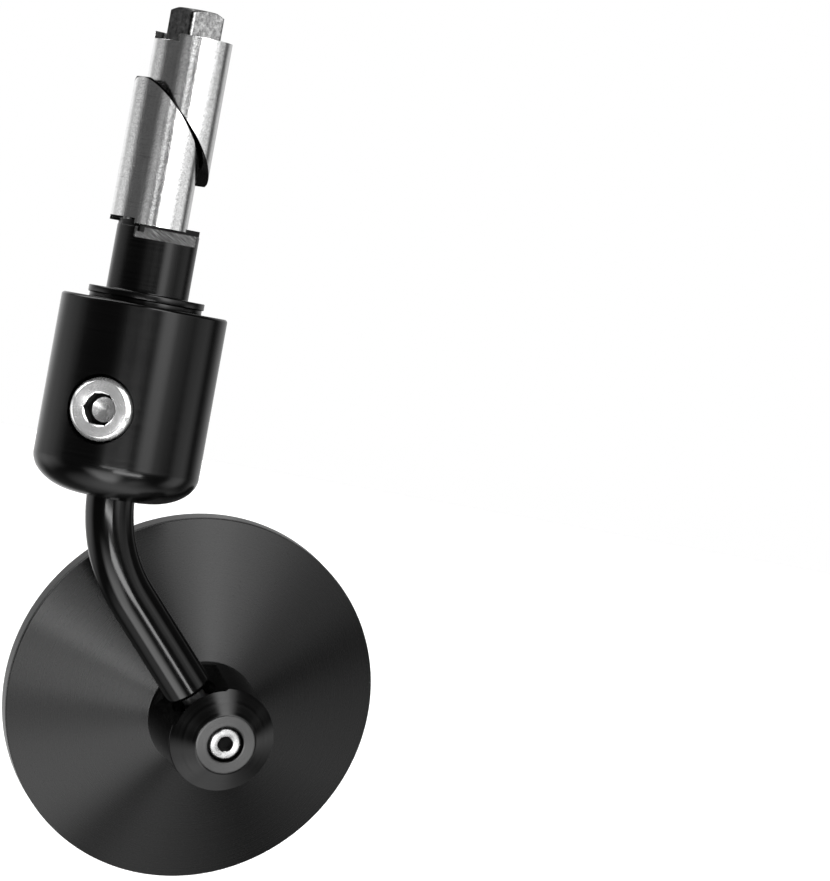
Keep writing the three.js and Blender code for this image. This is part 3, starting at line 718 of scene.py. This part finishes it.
def brass_turned():
    n = Finish("brass_turned")
    rings = lathe_lines(n, 2200)
    n.bump(rings, 0.2, 0.000004)
    color = n.ramp(rings, [(0.3, (0.55, 0.38, 0.13)), (0.7, (0.72, 0.53, 0.22))])
    return n.finish(Base_Color=color, Roughness=n.spread(rings, 0.3, 0.7, 0.22, 0.4), Metallic=1.0)


def nylon():
    n = Finish("nylon_moulded")
    cloud = n.noise(n.coordinates, 300, 4)
    grain = n.noise(n.coordinates, 5000, 2)
    n.bump(grain, 0.2, 0.000006)
    color = n.ramp(cloud, [(0.3, 0.012), (0.7, 0.02)])
    return n.finish(Base_Color=color, Roughness=n.spread(grain, 0.3, 0.7, 0.42, 0.6))


def silvered_glass():
    n = Finish("silvered_glass")
    smear = n.noise(n.scaled(1.0, 0.4, 1.0), 60, 4)
    dust = n.noise(n.coordinates, 3000, 1)
    rough = n.plus(n.spread(smear, 0.45, 0.75, 0.015, 0.04), n.spread(dust, 0.7, 0.8, 0.0, 0.04))
    return n.finish(Base_Color=n.ramp(smear, [(0.3, 0.88), (0.7, 0.93)]), Roughness=rough, Metallic=1.0)


def foam():
    n = Finish("closed_cell_foam")
    pattern = n.add("ShaderNodeTexVoronoi")
    n.plug(pattern.inputs["Vector"], n.coordinates)
    pattern.inputs["Scale"].default_value = 2600
    cells = pattern.outputs["Distance"]
    n.bump(cells, 0.6, 0.0001)
    return n.finish(Base_Color=n.ramp(cells, [(0.0, 0.02), (0.8, 0.08)]), Roughness=0.95)


body_finish = black_anodised("black_anodised_body", 0.2, streaks=0.6)
stem_finish = black_anodised("black_anodised_stem", 0.14, lines=600, depth=0.000001)
hub_finish = black_anodised("black_anodised_hub", 0.2, HEAD, streaks=0.5, lines=1800, depth=0.000006,
                            uneven=0.3)
rim_finish = black_anodised("black_anodised_rim", 0.2, HEAD, streaks=0.5)
disc_finish = black_anodised("turned_anodised_disc", 0.27, HEAD, streaks=0.95, lines=5200, depth=0.0000003,
                             uneven=0.04)
spindle_finish = milled_spindle()
casting_finish = polished_casting()
nut_finish = zinc_nut()
dark_finish = dark_steel()
bright_finish = chrome("bright_plating", 0.1)
# Painted shade in the hex sockets of the lock screw and the hub screw.
lock_socket_shade = Socket(radius=3.64, floor=LOCK_HEAD_FACE - LOCK_SOCKET_DEPTH - 0.03,
                     mouth=LOCK_HEAD_FACE - 0.3, tone=0.001)
lock_finish = chrome("lock_screw_plating", 0.24, LOCK, tone=0.93, streaks=0.7, socket=lock_socket_shade,
                     metallic=0.86)
hub_socket_shade = Socket(radius=1.85, floor=HUB_SCREW_HEAD_FACE - 3, mouth=HUB_SCREW_HEAD_FACE - 0.15, tone=0.012)
hub_screw_finish = chrome("hub_screw_plating", 0.25, HEAD, tone=0.17, streaks=0.8, socket=hub_socket_shade)
brass_finish = brass_turned()
nylon_finish = nylon()
glass_finish = silvered_glass()
foam_finish = foam()


# ------------------------------------------------------------------ wedge fixing
def make_spindle():
    outline = [
        (0, SPIGOT_BOTTOM), (SPIGOT_RADIUS, SPIGOT_BOTTOM),
        (SPIGOT_RADIUS, LOCK_HEIGHT - GROOVE_HALF_WIDTH), (GROOVE_RADIUS, LOCK_HEIGHT - GROOVE_HALF_WIDTH),
        (GROOVE_RADIUS, LOCK_HEIGHT + GROOVE_HALF_WIDTH), (SPIGOT_RADIUS, LOCK_HEIGHT + GROOVE_HALF_WIDTH),
        (SPIGOT_RADIUS, -FLANGE_THICKNESS), (FLANGE_RADIUS, -FLANGE_THICKNESS), (FLANGE_RADIUS, 0),
        (STUB_RADIUS, 0), (STUB_RADIUS, STUB_HEIGHT), (0, STUB_HEIGHT),
    ]
    above = STUB_HEIGHT + 5
    width = 2 * (STUB_RADIUS + OVERCUT)
    piece = lathe(outline, FINE, soft=0.22)
    tongue = turned(block(width, 2 * FLATS_HALF_WIDTH, FLATS_FROM - OVERCUT, above + OVERCUT), FLATS_AZIMUTH)
    piece = cut(piece, cut(block(width, width, FLATS_FROM, above), tongue))
    key = turned(block(width, KEY_WIDTH, STUB_HEIGHT - OVERCUT, STUB_HEIGHT + KEY_HEIGHT), WEDGE_AZIMUTH)
    key = kept(key, rod(STUB_RADIUS - 0.05, 0, above, MEDIUM))
    piece = joined(piece, key)
    piece = cut(piece, rod(SCREW_BORE_RADIUS, SPIGOT_BOTTOM - OVERCUT, above))
    piece = cut(piece, rod(SCREW_WELL_RADIUS, SPIGOT_BOTTOM - OVERCUT, SCREW_WELL_CEILING))
    bevelled(piece, 0.12, angle=40)
    return settle(piece, "spindle_turned", UPRIGHT, "bar_fixing", "spindle",
                  spindle_finish)


def make_wedge(name, side, offset, bottom, top, slot_from, slot_to, body, node):
    """One half of the wedge pair: side is 1 above the slanting cut and -1 below it."""
    size = 120
    half_space = block(size, size, -size / 2, size / 2)
    shifted(half_space, 0, 0, side * (size + WEDGE_CUT_GAP) / 2)
    turned(half_space, math.degrees(math.atan(WEDGE_SLOPE)), "Y")
    shifted(half_space, 0, 0, WEDGE_CUT_HEIGHT)
    piece = shifted(tube(WEDGE_BORE_RADIUS, WEDGE_RADIUS, bottom, top), offset, 0, 0)
    piece = kept(piece, half_space)
    piece = cut(piece, block(4 * WEDGE_RADIUS, END_SLOT_WIDTH, slot_from, slot_to))
    bevelled(piece, 0.16, angle=35)
    turned(piece, WEDGE_AZIMUTH)
    return settle(piece, name, UPRIGHT, body, node, casting_finish)


def make_nut():
    bottom = WEDGE_STACK_TOP - UPPER_SLOT_DEPTH + GAP
    top = bottom + NUT_HEIGHT
    half = NUT_WIDTH / 2 - NUT_CORNER_RADIUS
    builder = bmesh.new()
    ring = []
    for corner in (45, 135, 225, 315):
        centre_x = half * math.copysign(1, math.cos(math.radians(corner)))
        centre_y = half * math.copysign(1, math.sin(math.radians(corner)))
        for k in range(9):
            angle = math.radians(corner - 45 + 90 * k / 8)
            ring.append(builder.verts.new((centre_x + NUT_CORNER_RADIUS * math.cos(angle),
                                           centre_y + NUT_CORNER_RADIUS * math.sin(angle), bottom)))
    face = builder.faces.new(ring)
    raised = bmesh.ops.extrude_face_region(builder, geom=[face])
    tops = [v for v in raised["geom"] if isinstance(v, bmesh.types.BMVert)]
    bmesh.ops.translate(builder, verts=tops, vec=(0, 0, top - bottom))
    bmesh.ops.recalc_face_normals(builder, faces=builder.faces)
    mesh = bpy.data.meshes.new("nut")
    builder.to_mesh(mesh)
    builder.free()
    piece = new_object("nut", mesh)
    reach = math.sqrt(2) * half + NUT_CORNER_RADIUS
    under = bottom - OVERCUT
    crown = lathe([(0, under), (reach + OVERCUT, under), (reach + OVERCUT, top - NUT_CHAMFER),
                   (reach - NUT_CROWN_INSET, top), (0, top)], MEDIUM)
    piece = kept(piece, crown)
    piece = cut(piece, rod(DRAW_SCREW_RADIUS + RUNNING_GAP, under, top + OVERCUT, SMALL))
    lead = 0.35
    mouth = lathe([(0, top - lead), (DRAW_SCREW_RADIUS, top - lead),
                   (DRAW_SCREW_RADIUS + 2 * lead, top + lead), (0, top + lead)], SMALL)
    piece = cut(piece, mouth)
    bevelled(piece, 0.14, angle=25)
    turned(piece, WEDGE_AZIMUTH)
    return settle(piece, "square_nut", UPRIGHT, "draw_nut", "draw_nut", nut_finish)


# ------------------------------------------------------------------ body, lock and stem
def make_body():
    bottom_arc = []
    for k in range(29):
        angle = math.radians(-90 + 90 * k / 28)
        bottom_arc.append((BODY_RADIUS - BODY_ROUND_RADIAL * (1 - math.cos(angle)),
                           BODY_BOTTOM + BODY_ROUND_AXIAL * (1 + math.sin(angle))))
    bore = SPIGOT_RADIUS + RUNNING_GAP
    rim = [(BODY_RADIUS, BODY_TOP - BODY_EDGE_CHAMFER), (BODY_RADIUS - BODY_EDGE_CHAMFER, BODY_TOP),
           (bore + BORE_CHAMFER, BODY_TOP), (bore, BODY_TOP - BORE_CHAMFER)]
    wall = softened([bottom_arc[-1], *rim, (bore, BODY_FLOOR)], 0.22)[1:-1]
    outline = [(0, BODY_BOTTOM), *bottom_arc, *wall, (bore, BODY_FLOOR), (0, BODY_FLOOR)]
    piece = lathe(outline, FINE)
    outside = 30
    piece = cut(piece, moved(rod(LOCK_WELL_RADIUS, LOCK_WELL_FLOOR, outside), in_mm(LOCK)))
    piece = cut(piece, moved(rod(LOCK_SHANK_RADIUS + RUNNING_GAP, 2, outside), in_mm(LOCK)))
    piece = cut(piece, rod(STEM_RADIUS + STEM_SOCKET_GAP, BODY_BOTTOM - OVERCUT, BODY_FLOOR - BODY_WEB))
    piece = cut(piece, rod(STEM_SCREW_RADIUS + CLEARANCE, BODY_BOTTOM, BODY_FLOOR + OVERCUT))
    bevelled(piece, 0.14, angle=38)
    return settle(piece, "body_turned", UPRIGHT, "swivel_body", "body", body_finish)


def make_friction_washer():
    top = -FLANGE_THICKNESS - 0.005
    piece = tube(SPIGOT_RADIUS + 0.3, FRICTION_WASHER_RADIUS, BODY_TOP, top, soft=0.08)
    return settle(piece, "friction_ring", UPRIGHT, "swivel_body", "friction_washer",
                  body_finish)


def cap_screw(head_radius, head_height, shank_radius, shank_length,
              socket, socket_depth, face_chamfer, drill):
    """A cap screw about Z, with the top of its head at height 0.

    socket is the width of the hexagon, drill the radius of its drill point as a share of that width.
    """
    end = -head_height - shank_length
    lead = 0.35
    outline = [
        (0, end), (shank_radius - lead, end), (shank_radius, end + lead), (shank_radius, -head_height),
        (head_radius, -head_height), (head_radius, -face_chamfer), (head_radius - face_chamfer, 0), (0, 0),
    ]
    piece = lathe(outline, MEDIUM, soft=0.14)
    corner = socket / math.sqrt(3)
    piece = cut(piece, rod(corner, -socket_depth, OVERCUT, facets=6))
    drilled = drill * socket
    inside = -socket_depth + 0.2
    point = lathe([(0, -socket_depth - DRILL_POINT * drilled), (drilled, -socket_depth), (drilled, inside),
                   (0, inside)], SMALL)
    piece = cut(piece, point)
    slant = socket * 0.07
    mouth = lathe([(0, -slant), (socket / 2, -slant), (corner + slant, slant), (0, slant)], MEDIUM)
    piece = cut(piece, mouth)
    return bevelled(piece, 0.06, angle=30)


def make_lock_screw():
    shank_length = LOCK_HEAD_FACE - LOCK_HEAD_HEIGHT - LOCK_SHANK_END
    piece = cap_screw(LOCK_HEAD_RADIUS, LOCK_HEAD_HEIGHT, LOCK_SHANK_RADIUS, shank_length,
                      LOCK_SOCKET, LOCK_SOCKET_DEPTH, LOCK_FACE_CHAMFER, LOCK_DRILL)
    matrix = LOCK @ Matrix.Translation((0, 0, LOCK_HEAD_FACE * MM))
    return settle(piece, "lock_screw_plated", matrix, "lock_screw", "lock_screw",
                  lock_finish, smooth=30)


def stem_place(radius, angle, along):
    """A point of the stem: along runs down the centre line from the stem's top."""
    bend = math.radians(STEM_BEND_ANGLE)
    straight = STEM_TOP - STEM_BEND_START
    length = STEM_BEND_RADIUS * bend
    turn = min(max((along - straight) / STEM_BEND_RADIUS, 0), bend)
    sideways = STEM_BEND_RADIUS * (1 - math.cos(turn))
    centre = Vector((sideways, 0, STEM_BEND_START - STEM_BEND_RADIUS * math.sin(turn)))
    direction = Vector((math.sin(turn), 0, -math.cos(turn)))
    if along < straight:
        centre.z = STEM_TOP - along
    elif along > straight + length:
        centre += direction * (along - straight - length)
    side = Vector((0, 1, 0))
    across = side.cross(direction)
    return centre + radius * (math.cos(angle) * across + math.sin(angle) * side)


def make_stem():
    bend = math.radians(STEM_BEND_ANGLE)
    straight = STEM_TOP - STEM_BEND_START
    end = straight + STEM_BEND_RADIUS * bend + STEM_LEG
    bore = STEM_SCREW_RADIUS + RUNNING_GAP
    hole = STUD_SHANK_RADIUS + RUNNING_GAP
    hole_end = end - STUD_SHANK_LENGTH - 1
    lead = 0.25
    top = softened([(bore, 2.0), (bore, lead), (bore + lead, 0), (STEM_RADIUS - STEM_TOP_CHAMFER, 0),
                    (STEM_RADIUS, STEM_TOP_CHAMFER), (STEM_RADIUS, straight)], 0.15)
    curve = [(STEM_RADIUS, straight + STEM_BEND_RADIUS * bend * k / 48) for k in range(1, 49)]
    tip = softened([(STEM_RADIUS, end - STEM_LEG + 1), (STEM_RADIUS, end - STEM_END_CHAMFER),
                    (STEM_RADIUS - STEM_END_CHAMFER, end), (hole + BORE_CHAMFER, end),
                    (hole, end - BORE_CHAMFER), (hole, hole_end)], 0.3, steps=4)
    outline = [(0, STEM_SCREW_DEPTH), (bore, STEM_SCREW_DEPTH), *top, *curve, *tip, (0, hole_end)]
    piece = sweep(outline, MEDIUM, stem_place)
    return settle(piece, "stem_drawn", UPRIGHT, "swivel_body", "stem", stem_finish)


# ------------------------------------------------------------------ head
def make_ball_stud():
    neck_start = math.sqrt(BALL_RADIUS ** 2 - NECK_RADIUS ** 2)
    neck_angle = math.degrees(math.asin(neck_start / BALL_RADIUS))
    outline = [(0, -BALL_RADIUS)]
    for k in range(1, 25):
        angle = math.radians(-90 + (90 + neck_angle) * k / 24)
        outline.append((BALL_RADIUS * math.cos(angle), BALL_RADIUS * math.sin(angle)))
    shank = BALL_TO_STEM - GAP
    end = BALL_TO_STEM + STUD_SHANK_LENGTH
    outline += [(NECK_RADIUS, shank), (STUD_SHANK_RADIUS, shank), (STUD_SHANK_RADIUS, end), (0, end)]
    piece = lathe(outline, COARSE, soft=0.1)
    return settle(piece, "ball_stud_turned", STUD, "ball_stud", "ball_stud", dark_finish)


def housing_screw_places():
    step = 360 / HOUSING_SCREWS
    angles = [math.radians(HOUSING_SCREW_FIRST + step * k) for k in range(HOUSING_SCREWS)]
    return [(HOUSING_SCREW_CIRCLE * math.cos(a), HOUSING_SCREW_CIRCLE * math.sin(a)) for a in angles]


def make_hub():
    screw_bore = HUB_SCREW_RADIUS + RUNNING_GAP
    outline = [
        (HUB_BORE_RADIUS, HUB_BASE), (HUB_BASE_RADIUS, HUB_BASE), (HUB_EDGE_RADIUS, HUB_EDGE),
        (HUB_FACE_RADIUS, HUB_FACE), (HUB_FACE_RADIUS - HUB_FACE_BORDER, HUB_FACE),
        (HUB_WELL_RADIUS + HUB_FACE_BORDER, HUB_FACE), (HUB_WELL_RADIUS, HUB_FACE),
        (HUB_WELL_RADIUS, HUB_WELL_FLOOR), (screw_bore, HUB_WELL_FLOOR), (screw_bore, HUB_BORE_TOP),
        (HUB_BORE_RADIUS, HUB_BORE_TOP),
    ]
    piece = lathe(outline, FINE, soft=0.2, closed=True)
    width = 4 * HUB_BASE_RADIUS
    flat = shifted(block(width, width, HUB_FLAT_FROM, HUB_FLAT_TO), HUB_FLAT_DISTANCE + width / 2, 0, 0)
    piece = cut(piece, flat, turned(rod(HUB_WINDOW_RADIUS, 0, 20), 90, "Y"))
    hole = HOUSING_SCREW_RADIUS + RUNNING_GAP
    for x, y in housing_screw_places():
        drill = rod(hole, HUB_BASE - OVERCUT, HUB_BASE + HOUSING_SCREW_HOLE_DEPTH, TINY)
        piece = cut(piece, shifted(drill, x, y, 0))
    bevelled(piece, 0.12, angle=30)
    return settle(piece, "hub_turned", HEAD, "mirror_head", "hub", hub_finish, smooth=34)


def make_hub_screw():
    head_height = HUB_SCREW_HEAD_FACE - HUB_SCREW_HEAD_BOTTOM
    shank_length = HUB_SCREW_HEAD_BOTTOM - HUB_SCREW_END
    piece = cap_screw(HUB_SCREW_HEAD_RADIUS, head_height, HUB_SCREW_RADIUS, shank_length,
                      HUB_SCREW_SOCKET, HUB_SCREW_SOCKET_DEPTH, HUB_SCREW_FACE_CHAMFER, HUB_SCREW_DRILL)
    matrix = HEAD @ Matrix.Translation((0, 0, HUB_SCREW_HEAD_FACE * MM))
    return settle(piece, "hub_screw_plated", matrix, "hub_screw", "hub_screw",
                  hub_screw_finish, smooth=30)


def make_shell():
    rim_back = LIP_FACE + RIM_DEPTH
    rim_front = LIP_FACE + BEZEL_DEPTH + GAP
    centre = HUB_BASE - GAP
    inner = SHELL_SPIGOT_RADIUS - SHELL_SPIGOT_WALL
    outline = [
        (SHELL_CENTRE_HOLE, centre - SHELL_THICKNESS), (HUB_BASE_RADIUS - 0.5, centre - SHELL_THICKNESS),
        (inner, rim_front + 0.2), (inner, rim_front - SHELL_SPIGOT_DEPTH),
        (SHELL_SPIGOT_RADIUS, rim_front - SHELL_SPIGOT_DEPTH), (SHELL_SPIGOT_RADIUS, rim_front),
        (RIM_RADIUS, rim_front), (RIM_RADIUS, rim_back), (HUB_BASE_RADIUS, centre),
        (SHELL_CENTRE_HOLE, centre),
    ]
    piece = lathe(outline, WIDE, soft=0.15, closed=True)
    hole = HOUSING_SCREW_RADIUS + CLEARANCE
    for x, y in housing_screw_places():
        drill = rod(hole, centre - 3, centre + OVERCUT, TINY)
        piece = cut(piece, shifted(drill, x, y, 0))
    return settle(piece, "mirror_shell_turned", HEAD, "mirror_head", "mirror_housing",
                  disc_finish, smooth=30)


def make_bezel():
    back = LIP_FACE + BEZEL_DEPTH
    lip_back = LIP_FACE + BEZEL_LIP_THICKNESS
    outline = [
        (BEZEL_LIP_RADIUS, LIP_FACE + BEZEL_INNER_CHAMFER),
        (BEZEL_LIP_RADIUS + BEZEL_INNER_CHAMFER, LIP_FACE),
        (RIM_RADIUS - BEZEL_OUTER_CHAMFER, LIP_FACE), (RIM_RADIUS, LIP_FACE + BEZEL_OUTER_CHAMFER),
        (RIM_RADIUS, back), (BEZEL_POCKET_RADIUS, back), (BEZEL_POCKET_RADIUS, lip_back),
        (BEZEL_LIP_RADIUS, lip_back),
    ]
    piece = lathe(outline, WIDE, soft=0.14, closed=True)
    return settle(piece, "bezel_turned", HEAD, "mirror_head", "bezel_ring", rim_finish,
                  smooth=30)


def make_glass():
    edge = math.sqrt(GLASS_CURVE_RADIUS ** 2 - GLASS_RADIUS ** 2)
    front = LIP_FACE + GLASS_RECESS

    def dome(radius):
        return math.sqrt(GLASS_CURVE_RADIUS ** 2 - radius ** 2) - edge

    radii = [GLASS_RADIUS * k / 12 for k in range(13)]
    face = [(r, front - dome(r)) for r in radii]
    back = [(r, front + GLASS_THICKNESS - dome(r)) for r in reversed(radii)]
    rim = softened([face[-2], face[-1], back[0], back[1]], 0.12)[1:-1]
    piece = lathe([*face[:-1], *rim, *back[1:]], WIDE)
    return settle(piece, "mirror_glass_domed", HEAD, "mirror_head", "mirror_glass",
                  glass_finish, smooth=30)


# ------------------------------------------------------------------ stage, light and camera, in metres
VIEW_AZIMUTH = math.radians(31.54)
VIEW_ELEVATION = math.radians(1.004)
VIEW_ROLL = math.radians(10.317)
VIEW_DISTANCE = 1.0
CAMERA_RIGHT = 0.05486
CAMERA_UP = -0.02996
SENSOR = 36                  # in millimetres, like the lens
LENS = 199.57
FLOOR_DROP = 0.05            # from the lowest point of the part to the floor
FLOOR_RADIUS = 4.8
BACKDROP_RADIUS = 5
LAMP_DISTANCE = 1.5


def towards(azimuth, elevation):
    """Unit vector from the object. azimuth turns from -Y to -X and elevation rises to +Z, in radians."""
    level = math.cos(elevation)
    return Vector((-math.sin(azimuth) * level, -math.cos(azimuth) * level, math.sin(elevation)))


sight = -towards(VIEW_AZIMUTH, VIEW_ELEVATION)
view_right = Vector((math.cos(VIEW_AZIMUTH), -math.sin(VIEW_AZIMUTH), 0))
view_up = view_right.cross(sight)


def make_camera():
    right = math.cos(VIEW_ROLL) * view_right + math.sin(VIEW_ROLL) * view_up
    up = -math.sin(VIEW_ROLL) * view_right + math.cos(VIEW_ROLL) * view_up
    data = bpy.data.cameras.new("camera")
    data.sensor_width = SENSOR
    data.lens = LENS
    data.clip_start = 0.01
    data.clip_end = 50
    camera = bpy.data.objects.new("camera", data)
    bpy.context.scene.collection.objects.link(camera)
    place = CAMERA_RIGHT * right + CAMERA_UP * up - VIEW_DISTANCE * sight
    camera.matrix_world = basis(right, up, -sight, place)
    bpy.context.scene.camera = camera


# The studio as the object sees it: a strength, a span of bearings and a span of elevations for each soft
# light and lit surface. Bearings run to the right from the camera's side, in degrees. A span says where the
# light begins, where it is full, where it starts to fade and where it ends.
AMBIENT = 0.08
SOFT_LIGHTS = {
    "key": (8, (26, 36, 44, 56), (-8, 6, 10, 26)),
    "beside_key": (3, (42, 50, 60, 78), (-8, 6, 12, 28)),
    "above_key": (10, (6, 16, 30, 52), (8, 22, 30, 70)),
    "far_beside_key": (1.5, (68, 74, 84, 92), (-2, 6, 10, 22)),
    "over_camera": (2, (0, 6, 10, 18), (0, 7, 9, 20)),
    "fill": (0.5, (-28, -16, -6, -2), (-26, -10, -6, 8)),
    "left_wall": (1.5, (-136, -116, -96, -76), (-40, -20, -6, 6)),
    "left_ceiling": (8, (-125, -100, -84, -68), (10, 25, 90, 91)),
    "right_wall": (1.8, (82, 92, 106, 120), (-50, -30, -6, 6)),
    "back_left": (0.9, (-181, -180, -140, -120), (-30, -12, 30, 60)),
    "back_right": (0.5, (126, 146, 180, 181), (-30, -12, 30, 60)),
    "table_front": (6, (-50, -30, 4, 22), (-88, -68, -46, -26)),
    "table_right": (1, (36, 46, 60, 74), (-76, -66, -58, -40)),
    "table_back": (0.5, (104, 126, 156, 180), (-80, -60, -50, -30)),
    "table_below": (1.8, (-181, -180, 180, 181), (-92, -91, -80, -50)),
}


def make_studio():
    world = bpy.data.worlds.new("studio")
    bpy.context.scene.world = world
    world.use_nodes = True
    n = Graph(world.node_tree)
    direction = n.add("ShaderNodeTexCoord").outputs["Generated"]
    front = towards(VIEW_AZIMUTH, 0)
    rightward = n.vector("DOT_PRODUCT", direction, view_right, output=1)
    forward = n.vector("DOT_PRODUCT", direction, front, output=1)
    upward = n.vector("DOT_PRODUCT", direction, (0, 0, 1), output=1)
    bearing = n.maths("DEGREES", n.maths("ARCTAN2", rightward, forward))
    elevation = n.maths("DEGREES", n.maths("ARCSINE", upward))

    def within(value, begin, full, fade, end):
        rising = n.spread(value, begin, full, 0.0, 1.0)
        falling = n.spread(value, fade, end, 1.0, 0.0)
        return n.times(rising, falling)

    total = AMBIENT
    for strength, bearings, elevations in SOFT_LIGHTS.values():
        shape = n.times(within(bearing, *bearings), within(elevation, *elevations))
        total = n.maths("MULTIPLY_ADD", shape, strength, total)
    background = world.node_tree.nodes["Background"]
    n.plug(background.inputs["Color"], total)
    background.inputs["Strength"].default_value = 1.0


def glowing(name, color, strength, lit):
    """A pale surface. strength is its own light, lit is how much it takes from the lamps."""
    n = Finish(name)
    cloud = n.noise(n.coordinates, 3, 2)
    tone = n.ramp(cloud, [(0.3, color * lit * 0.99), (0.7, color * lit)])
    return n.finish(Base_Color=tone, Roughness=0.9, Specular_IOR_Level=0.0, Emission_Color=(1, 1, 1, 1),
                    Emission_Strength=strength)


def make_stage():
    floor_height = (cad_low.z - FLOOR_DROP) / MM
    floor = lathe([(0, floor_height), (FLOOR_RADIUS / MM, floor_height)], MEDIUM)
    floor.data.flip_normals()
    floor.name = "floor"
    radius = BACKDROP_RADIUS / MM
    angles = [math.radians(degrees) for degrees in range(-90, 91, 5)]
    backdrop = lathe([(radius * math.cos(a), radius * math.sin(a)) for a in angles], COARSE)
    backdrop.name = "backdrop"
    surfaces = (
        (floor, glowing("pale_floor", color=1.0, strength=0.62, lit=0.6)),
        (backdrop, glowing("pale_backdrop", color=0.0, strength=1.0, lit=0.0)),
    )
    for piece, material in surfaces:
        piece.data.transform(Matrix.Scale(MM, 4))
        piece.data.materials.append(material)
        piece.visible_glossy = False
        piece.visible_transmission = False
        piece.visible_diffuse = False
        piece.visible_shadow = False


def make_strip(name, bearing, elevation, wide, high, radiance):
    """A rectangular lamp. Its direction and the angles that it covers are in degrees."""
    width = 2 * LAMP_DISTANCE * math.tan(math.radians(wide / 2))
    height = 2 * LAMP_DISTANCE * math.tan(math.radians(high / 2))
    data = bpy.data.lights.new(name, "AREA")
    data.shape = "RECTANGLE"
    data.size = width
    data.size_y = height
    data.energy = radiance * math.pi * width * height
    lamp = bpy.data.objects.new(name, data)
    bpy.context.scene.collection.objects.link(lamp)
    direction = towards(VIEW_AZIMUTH - math.radians(bearing), math.radians(elevation))
    across = Vector((0, 0, 1)).cross(direction).normalized()
    target = (cad_low + cad_high) / 2
    place = target + LAMP_DISTANCE * direction
    lamp.matrix_world = basis(across, direction.cross(across), direction, place)
    lamp.visible_camera = False


make_camera()
make_studio()
make_stage()
make_strip("strip_light", bearing=1, elevation=-11.5, wide=34, high=4, radiance=23)
make_strip("low_light", bearing=21, elevation=-26.5, wide=37, high=11, radiance=16)

# ------------------------------------------------------------------ pieces
make_spindle()
lower_top = WEDGE_STACK_BOTTOM + WEDGE_LENGTH
make_wedge("wedge_lower_cast", -1, LOWER_WEDGE_OFFSET, WEDGE_STACK_BOTTOM, lower_top,
           WEDGE_STACK_BOTTOM - OVERCUT, WEDGE_STACK_BOTTOM + LOWER_SLOT_DEPTH, "bar_fixing", "lower_wedge")
make_wedge("wedge_upper_cast", 1, UPPER_WEDGE_OFFSET, WEDGE_STACK_TOP - WEDGE_LENGTH, WEDGE_STACK_TOP,
           WEDGE_STACK_TOP - UPPER_SLOT_DEPTH, WEDGE_STACK_TOP + OVERCUT, "upper_wedge", "upper_wedge")
make_nut()
make_body()
make_friction_washer()
make_lock_screw()
make_stem()
make_ball_stud()
make_hub()
make_hub_screw()
make_shell()
make_bezel()
make_glass()

# CAD nodes that stay as they are get a finish of their own
for node_name, finish_material in {
    "draw_screw": dark_finish,
    "draw_screw_washer": bright_finish,
    "lock_shoe": brass_finish,
    "stem_washer": bright_finish,
    "stem_screw": dark_finish,
    "ball_seat": nylon_finish,
    "pressure_pad": nylon_finish,
    "spring_washer": bright_finish,
    "backing_pad": foam_finish,
    "housing_screw_1": dark_finish,
    "housing_screw_2": dark_finish,
    "housing_screw_3": dark_finish,
}.items():
    node_mesh = frame["nodes"][node_name].data
    node_mesh.materials.clear()
    node_mesh.materials.append(finish_material)

bpy.context.scene.view_settings.view_transform = "Standard"
bpy.context.scene.view_settings.look = "None"

bpy.context.view_layer.update()
